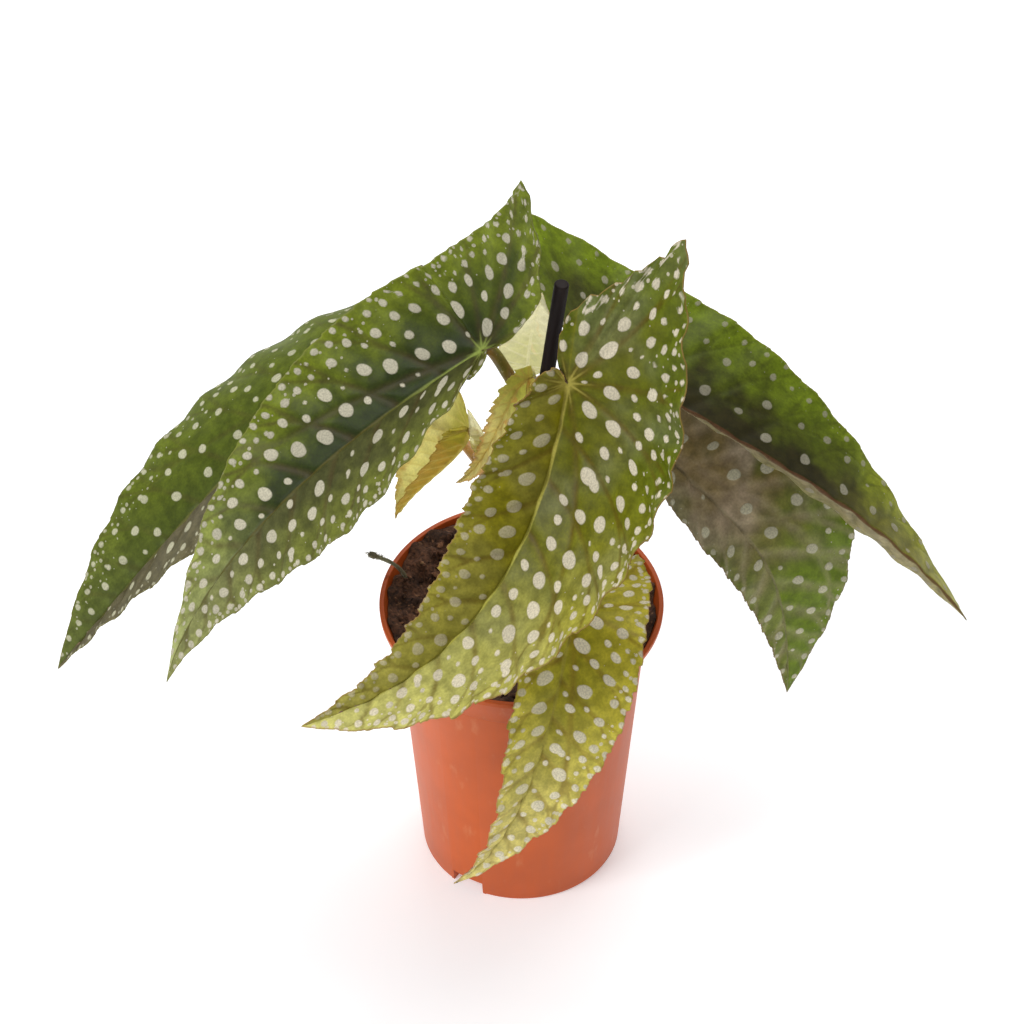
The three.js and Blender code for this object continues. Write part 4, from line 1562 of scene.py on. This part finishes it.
    def fibres(self, skin: Peat, count: int) -> None:
        """Lays thin bent roots and straw over the soil's face.

        Args:
            skin: their finish.
            count: how many.
        """
        draw = np.random.default_rng(self.seed)
        parts = []
        for _ in range(count):
            reach = self.fibre_reach * math.sqrt(draw.uniform(0, 1))
            turn = draw.uniform(0, 2 * math.pi)
            x, y, way = reach * math.cos(turn), reach * math.sin(turn), draw.uniform(0, 2 * math.pi)
            length = draw.uniform(3, 11)
            points = []
            for step in range(4):
                z = float(self.height(np.array(x), np.array(y))) + draw.uniform(0.2, 1.3)
                points.append((x, y, z))
                way += draw.normal(0, 0.5)
                x, y = x + length / 3 * math.cos(way), y + length / 3 * math.sin(way)
                away = math.hypot(x, y)
                if away > self.fibre_limit + 1:
                    x, y = x * self.fibre_limit / away, y * self.fibre_limit / away
            thick = draw.uniform(0.14, 0.4)
            parts.append(Tube(points, lambda share, r=thick: r * (1.1 - share), 5, 8).grid())
        claim(solid("soil_fibres", parts, skin.material()), "potting_soil")


@dataclass
class Stake:
    """The plastic stake that stands in the soil."""

    skin: MouldedPlastic
    foot: Point = (-18, -3, 30)
    top: Point = (15.7, -3, 323)
    radius: float = 3
    rounding: float = 0.8

    def build(self) -> None:
        """Builds and dresses the stake."""
        foot, top = Vector(self.foot), Vector(self.top)
        way = top - foot
        rod = bmesh.new()
        bmesh.ops.create_cone(
            rod, cap_ends=True, segments=32, radius1=self.radius * MM, radius2=self.radius * MM,
            depth=way.length * MM,
        )  # fmt: skip
        rim = [e for e in rod.edges if e.calc_face_angle(0) > 1]
        bmesh.ops.bevel(
            rod, geom=rim, offset=self.rounding * MM, segments=6, profile=0.5, affect="EDGES", material=-1
        )
        turn = way.to_track_quat("Z", "Y").to_matrix()
        bmesh.ops.rotate(rod, verts=rod.verts, matrix=turn, cent=(0, 0, 0))
        bmesh.ops.translate(rod, verts=rod.verts, vec=(foot + top) / 2 * MM)
        claim(solid("stake_rod", [rod], self.skin.material()), "stake_plastic", "stake")


@dataclass
class Twig:
    """The dry stalk with a woolly end that lies over the rim."""

    skin: Stem
    points: tuple[Point, ...] = (
        (-43.1, 14.5, 112), (-45.9, 15.4, 124), (-48.6, 16.3, 135.5), (-50, 16.8, 141),
        (-54.2, 18.1, 145.6), (-60, 20, 147.4), (-65, 21, 149),
    )  # fmt: skip
    radius: Pair = (1.1, 0.8)
    knob: float = 1.7
    hairs: int = 170
    seed: int = 5

    def build(self) -> None:
        """Builds and dresses the stalk with its woolly end."""
        draw = np.random.default_rng(self.seed)
        first, last = self.radius

        def radius(share: Array) -> Array:
            body = first + (last - first) * share + 0.12 * np.sin(40 * share) * np.sin(17 * share + 1)
            end = self.knob * np.sqrt(np.clip(1 - ((share - 0.955) / 0.045) ** 2, 0, 1))
            return np.maximum(np.where(share > 0.999, 0.05, body * smooth(1.0, 0.985, share)), end * 0.9)

        stalk = Tube(list(self.points), radius, 14, 90)
        wool = bmesh.new()
        for _ in range(self.hairs):
            share = draw.uniform(0.86, 0.998) if draw.random() < 0.8 else draw.uniform(0.55, 0.9)
            centre = stalk.at(np.array([share]))[0]
            way = Vector(unit(draw.normal(size=3) + np.array([-0.5, 0.1, 0.1]))).normalized()
            length = draw.uniform(0.8, 1.9)
            hair = bmesh.ops.create_cone(
                wool, cap_ends=True, segments=3, radius1=0.11 * MM, radius2=0.03 * MM, depth=length * MM
            )["verts"]
            bmesh.ops.translate(wool, verts=hair, vec=(0, 0, (self.knob * 0.5 + length * 0.5) * MM))
            bmesh.ops.rotate(wool, verts=hair, matrix=way.to_track_quat("Z", "Y").to_matrix(), cent=(0, 0, 0))
            bmesh.ops.translate(wool, verts=hair, vec=Vector(centre) * MM)
        claim(solid("twig_stalk", [stalk.grid(), wool], self.skin.material()), "dry_stalk", "twig")


SHAPES = {
    "leaf_left_upper": LeafShape(
        (-16, -5, 289), (-22, -4, 281), (-122, -10, 213), (-146, -60, 155), ((-9, 56), (-63, 9)), 1,
        43.5, 39.5, (82, 35), (4, -1), (56, -14), (23, -1), -16, (1.2, 24), (0.8, 9),
    ),
    "leaf_left_rear": LeafShape(
        (-63, 30, 238), (-101, 34, 230), (-156, 6, 158), (-199, 5, 95), ((-60, 37), (-53, 22)), 1,
        53, 28, (60, 34), (-4, 26), (15, 49), (-42, -8), 10, (1.0, 26), (0.8, 9),
    ),
    "leaf_front_upper": LeafShape(
        (18, -21, 286), (10.5, -37, 226), (-12, -87, 189), (-89, -100, 171), ((4, 37), (-1, 45)), -1,
        63, 29, (62, 46), (15, 40), (22, 36), (43, -17), 29, (1.4, 20), (2.2, 11),
    ),
    "leaf_front_lower": LeafShape(
        (22.5, -35.5, 172.5), (15, -66, 175), (11.5, -81.5, 91), (-28.5, -84, 57), ((5, 58), (32, 9)), -1,
        31, 18.5, (46, 17), (14, 10), (16, 28), (-10, -12), 15, (1.2, 18), (1.6, 10),
    ),
    "leaf_right_upper": LeafShape(
        (28, 25, 266), (76, 0, 235), (138, -7, 218), (188, -5, 135), ((66, 10), (63, 50)), -1,
        54, 18, (58, 34), (-11, -20), (-134, -91), (20, -5), -6, (0.8, 26), (0.6, 10),
    ),
    "leaf_right_lower": LeafShape(
        (56, 28, 205), (93, 10, 169), (114, 13, 161), (115, 10, 75), ((13, 50), (27, 23)), -1,
        58, 18, (45, 32), (8, -1), (23, -1), (-6, -14), 10, (1.0, 22), (1.0, 9),
    ),
    "leaf_young_left": LeafShape(
        (-21.5, 0, 241), (-24, 3, 220), (-45.5, -11, 220), (-52, -11, 201), ((-131, 51), (-127, 44)), 1,
        25.5, 14, (7, 13), (64, 54), (45, 27), (-10, -18), 10, (0.5, 9), (1.8, 4.5),
    ),
    "leaf_young_middle": LeafShape(
        (2.5, -6.5, 275), (-8.5, -11, 267), (-11, -17, 237), (-27, -21, 231), ((-35, 40), (-35, 40)), 1,
        6, 14, (4.5, 4), (50, 42), (36, 42), (14, 9), 20, (0.5, 8), (2, 4.5),
    ),
    "stipule_large": LeafShape(
        (2.4, 9, 267.1), (3, 12, 282), (6, 12, 297), (8, 6, 310), ((-15, 5), (-5, 5)), -1,
        14, 13, None, (38, 30), (38, 30), (20, 20), 0, (0.3, 12), (0, 9),
    ),
    "stipule_small": LeafShape(
        (-16, -3.6, 230.8), (-14.6, -6.9, 239.8), (-17.6, -7.9, 249.8), (-22.1, -7.9, 259.8),
        ((-20, 5), (-20, 5)), -1, 5, 4, None, (38, 30), (38, 30), (20, 20), 0, (0, 12), (0, 9),
    ),
}  # fmt: skip


def blades() -> list[Leaf]:
    """Lists the leaves and sheaths with their finishes and spots."""
    wine = BladeBack("wine_red_leaf_back", "5a2730", "4e5a34", "8a6f52", "7a3a22")
    dark = BladeSkin(
        "dark_waxy_leaf", "2a3608", "707c1c", "b0b670", "686440", "4a3822", "56501c", "98a850", "ccc6ae",
        "8a8a4a", "6c8a10", narrow_share=0.4, vein_share=0.55, vein_width=3.4, end_share=0.8,
    )  # fmt: skip
    # Painted reflection: the grey brown laid over this leaf's narrow half stands for sheen on that half.
    rear = BladeSkin(
        "dull_waxy_leaf", "4a5616", "606c1c", "68703a", "645a48", "4c4022", "6a6a34", "8a8a4a", "d2d0b0",
        "77703c", "647a14", narrow_share=0.8, spot_share=0.8,
    )  # fmt: skip
    # Painted reflection: a little grey sheen is laid into this leaf's colour in patches.
    olive = BladeSkin(
        "olive_waxy_leaf", "62640a", "5c6812", "ccc874", "968a12", "5c4412", "b8b44c", "b8ac50", "e4dac0",
        "9c7440", "a8a810", painted_sheen_share=0.16, narrow_share=0.5, vein_share=0.6, narrow_spots=0.55,
        rib_share=0.85, rib_glow=90, thread_reach=14, end_start=0.35, end_share=0.95, lower="9c962c",
    )  # fmt: skip
    # Painted light: its greens are lighter than the upper olive leaf's, lifted to stand in for light that
    # falls on it where the leaf above shades it.
    pale = BladeSkin(
        "painted_light_olive_waxy_leaf", "a8a028", "d2c640", "f4e48c", "aca02c", "7e581f", "a89c48", "b8ac50",
        "fff6d6", "a87848", "b8b818", vein_share=0.55, narrow_spots=0.8, rib_share=0.4,
        end_start=0.3, end_share=0.9,
    )  # fmt: skip
    bronze = BladeSkin(
        "bronzed_waxy_leaf", "302c10", "6e8018", "a8a438", "b0a47c", "2c2812", "6a4028", "6a5030",
        "b4ae98", "a4a04c", "7c9c10", narrow_share=0.75, spot_share=0.65, end_share=0.9, speckle=0.4,
    )  # fmt: skip
    # Painted reflection and painted light: much of this leaf's silvery grey, with the wide pale streaks drawn
    # as its veins, is sheen laid into its colour, and its colours are lifted to stand in for light that the
    # leaf over it keeps off.
    silver = BladeSkin(
        "sheen_painted_waxy_leaf", "8c7a4c", "5c7020", "708810", "8c7e54", "d8c0a4", "a09470", "8c8064",
        "dcd8b8", "8a6a46", "7f8a14", painted_sheen="d0bca4", painted_sheen_share=0.55, narrow_share=0.3, vein_share=0.3,
        vein_width=6, rib_share=0.45, end_start=0.35, end_share=0.95, end_full=0.75, speckle=0.5,
    )  # fmt: skip
    cream = YoungSkin(
        "cream_young_leaf", "fffacc", "cc9c50", "c08450", "f0e0a0", "fffcb4", "bcb838", "c08040", 0.7, 0.62,
        root_reach=20, dryness=0.45, clearness=0.2,
    )  # fmt: skip
    tan = YoungSkin(
        "tan_young_leaf", "fff4c0", "fcf0b8", "f4b088", "d8b068", "fffcc0", "c4c84c", "d88440", 0.68, 0.6,
        root_reach=26, dryness=0.7, clearness=0.15,
    )  # fmt: skip
    sheath = YoungSkin(
        "papery_sheath", "fffdf0", "fffdf0", "e0c090", "fcf8d8", "fffce0", "c8cc44", "f4d098", 0.6, 0.85,
        root_reach=28, clearness=0.45,
    )  # fmt: skip
    return [
        *(
            Leaf(node, slot, skin, wine, spots)
            for node, slot, skin, spots in (
                ("leaf_left_upper", "leaf_dark", dark, SpotRule(3.6, 21)),
                ("leaf_left_rear", "leaf_dark", rear, SpotRule(2.7, 22, gap=5)),
                ("leaf_front_upper", "leaf_olive", olive, SpotRule(3.7, 23, gap=2.6)),
                ("leaf_front_lower", "leaf_olive", pale, SpotRule(3.4, 24, gap=2)),
                ("leaf_right_upper", "leaf_dark", bronze, SpotRule(3.0, 25, gap=10)),
                ("leaf_right_lower", "leaf_silver", silver, SpotRule(3.1, 26, gap=7.5)),
            )
        ),
        *(
            Leaf(node, slot, skin, None, None, fineness, *walls)
            for node, slot, skin, fineness, walls in (
                ("leaf_young_left", "leaf_young", cream, SMALL_BLADE, (0.35, 1.2, 0.6)),
                ("leaf_young_middle", "leaf_young", tan, SMALL_BLADE, (0.35, 1.1, 0.6)),
                ("stipule_large", "stipule", sheath, SHEATH, (0.25, 0.7, 0.35)),
                ("stipule_small", "stipule", sheath, SHEATH, (0.25, 0.5, 0.35)),
            )
        ),
    ]


def canes() -> list[Cane]:
    """Lists the canes with the stalks that leave them."""
    main_stalks = [
        Stalk("leaf_front_lower", [(4, 7, 144), (13, -4, 153), (20, -20, 162)], (2.4, 2)),
        Stalk("leaf_right_lower", [(5, 6, 184), (25, 18, 190), (44, 27, 195)], (2.6, 2.1)),
        Stalk("leaf_right_upper", [(6, 6, 228), (15, 15, 243), (20, 22, 256)], (2.6, 2.1), (0, -1, -1)),
        Stalk("leaf_front_upper", [(7, 6, 236), (18, 7, 248), (21, -3, 265)], (2.6, 2.1)),
        Stalk("leaf_left_upper", [(6, 6, 247), (1, 2, 258), (-3.6, -0.5, 268)], (2.8, 2.5)),
        Stalk("leaf_young_middle", [(5, 6, 257), (5, 1.5, 267)], (1.9, 1.6)),
    ]
    left_stalks = [
        Stalk("leaf_left_rear", [(-16, 1, 221), (-30, 14, 228), (-47, 25, 230)], (2.4, 2)),
        Stalk("leaf_young_left", [(-17, 0.7, 226)], (2.3, 2)),
    ]
    return [
        Cane(
            "cane_main",
            [
                (2, 6, 90), (3.2, 6.6, 139), (6, 8, 168), (4, 5, 205), (7, 6, 240), (5, 7, 255),
                (3, 8.5, 265.5),
            ],
            3.8, 2.2, 0.22, (0.3, 0.52, 0.76, 0.86, 0.93), main_stalks,
            Stem("olive_stem_skin", "747024", "8e6a2c", "b8a670"),
        ),
        Cane(
            "cane_left",
            [(-22, 2, 90), (-20.8, 1, 138), (-18, 0, 168), (-15.8, 1.5, 205), (-15, 1, 220), (-18, 0.5, 229)],
            3.3, 2.3, 0.25, (0.35, 0.66, 0.93), left_stalks,
            Stem("tan_stem_skin", "b49a54", "c89a5c", "e0d0a4"),
        ),
    ]  # fmt: skip


@dataclass(frozen=True)
class Studio:
    """A plain white floor, soft light and the camera."""

    elevation: float = 44.3
    distance: float = 2000
    target: Point = (-4, 0, 194)
    focal: float = 4830  # in pixels of a square frame of 1024
    frame: float = 1024
    sensor: float = 36
    floor_size: float = 3.0
    floor_colour: str = "f3f4f5"
    floor_glow: str = "fcfdff"
    glow_strength: float = 0.27
    sky_strength: float = 0.42

    def build(self) -> None:
        """Sets up the floor, the light and the camera."""
        self.camera()
        self.floor()
        self.light("key_light", (-1.3, -0.85, 1.4), 0.9, 22)
        self.light("back_light", (0.2, 0.7, 1.8), 1.4, 24)
        world = bpy.data.worlds.new("white_room")
        world.use_nodes = True
        sky = world.node_tree.nodes["Background"].inputs
        sky["Color"].default_value = (1, 1, 1, 1)
        sky["Strength"].default_value = self.sky_strength
        bpy.context.scene.world = world
        bpy.context.scene.view_settings.view_transform = "Standard"

    def camera(self) -> None:
        """Places the camera in front, looking down."""
        lens = bpy.data.cameras.new("camera")
        lens.sensor_width = self.sensor
        lens.lens = self.focal / self.frame * self.sensor
        lens.clip_end = 20
        camera = bpy.data.objects.new("camera", lens)
        down = math.radians(self.elevation)
        away = Vector((0, -math.cos(down), math.sin(down))) * self.distance
        camera.location = (Vector(self.target) + away) * MM
        camera.rotation_euler = (math.pi / 2 - down, 0, 0)
        bpy.context.collection.objects.link(camera)
        bpy.context.scene.camera = camera

    def floor(self) -> None:
        """Lays the floor."""
        sheet = bmesh.new()
        bmesh.ops.create_grid(sheet, x_segments=1, y_segments=1, size=self.floor_size)
        recipe = Recipe("white_painted_board")
        skin = {
            "Base Color": recipe.shade(self.floor_colour, recipe.noise(60, 2), 0.3, 0.7, 0.995, 1.005),
            "Roughness": 0.7,
            "Emission Color": self.floor_glow,
            "Emission Strength": self.glow_strength,
        }
        floor = solid("floor", [sheet], recipe.finish(skin))

    def light(self, name: str, place: Point, size: float, power: float) -> None:
        """Hangs a square soft light that faces the plant.

        Args:
            name: the light's name.
            place: where it hangs, in metres.
            size: its width in metres.
            power: its power in watts.
        """
        lamp = bpy.data.lights.new(name, "AREA")
        lamp.size = size
        lamp.energy = power
        holder = bpy.data.objects.new(name, lamp)
        holder.location = place
        aim = Vector(self.target) * MM - Vector(place)
        holder.rotation_euler = aim.to_track_quat("-Z", "Y").to_euler()
        bpy.context.collection.objects.link(holder)


def main() -> None:
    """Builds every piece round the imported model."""
    logging.basicConfig(level=logging.INFO, format="%(name)s: %(message)s")
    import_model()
    Studio().build()
    pot = Pot(MouldedPlastic("moulded_polypropylene_terracotta", "c4581e", "d28a5e", 0.45, 0.25))
    pot.build()
    peat = Peat("damp_peat", "40291a", "684631", "946c4a")
    soil = Soil(pot, peat)
    soil.build()
    soil.strew("soil_crumbs", peat, 900, (0.5, 2.2), 0.8)
    bark = Peat("pine_bark_chips", "5a3826", "8a6040", "b08a60")
    soil.strew("soil_bark", bark, 120, (1.0, 4.5), 0.35)
    soil.fibres(Peat("dry_peat_fibre", "6a4a30", "9a7a54", "c0a880"), 90)
    Stake(MouldedPlastic("moulded_black_polyethylene", "1a1110", "2c2422", 0.6, 0.15)).build()
    Twig(Stem("dry_woolly_stalk", "8a8a6a", "6f6a50", "c0bfa6", 0.8)).build()
    for piece in (*canes(), *blades()):
        piece.build()


if __name__ == "__main__":
    main()
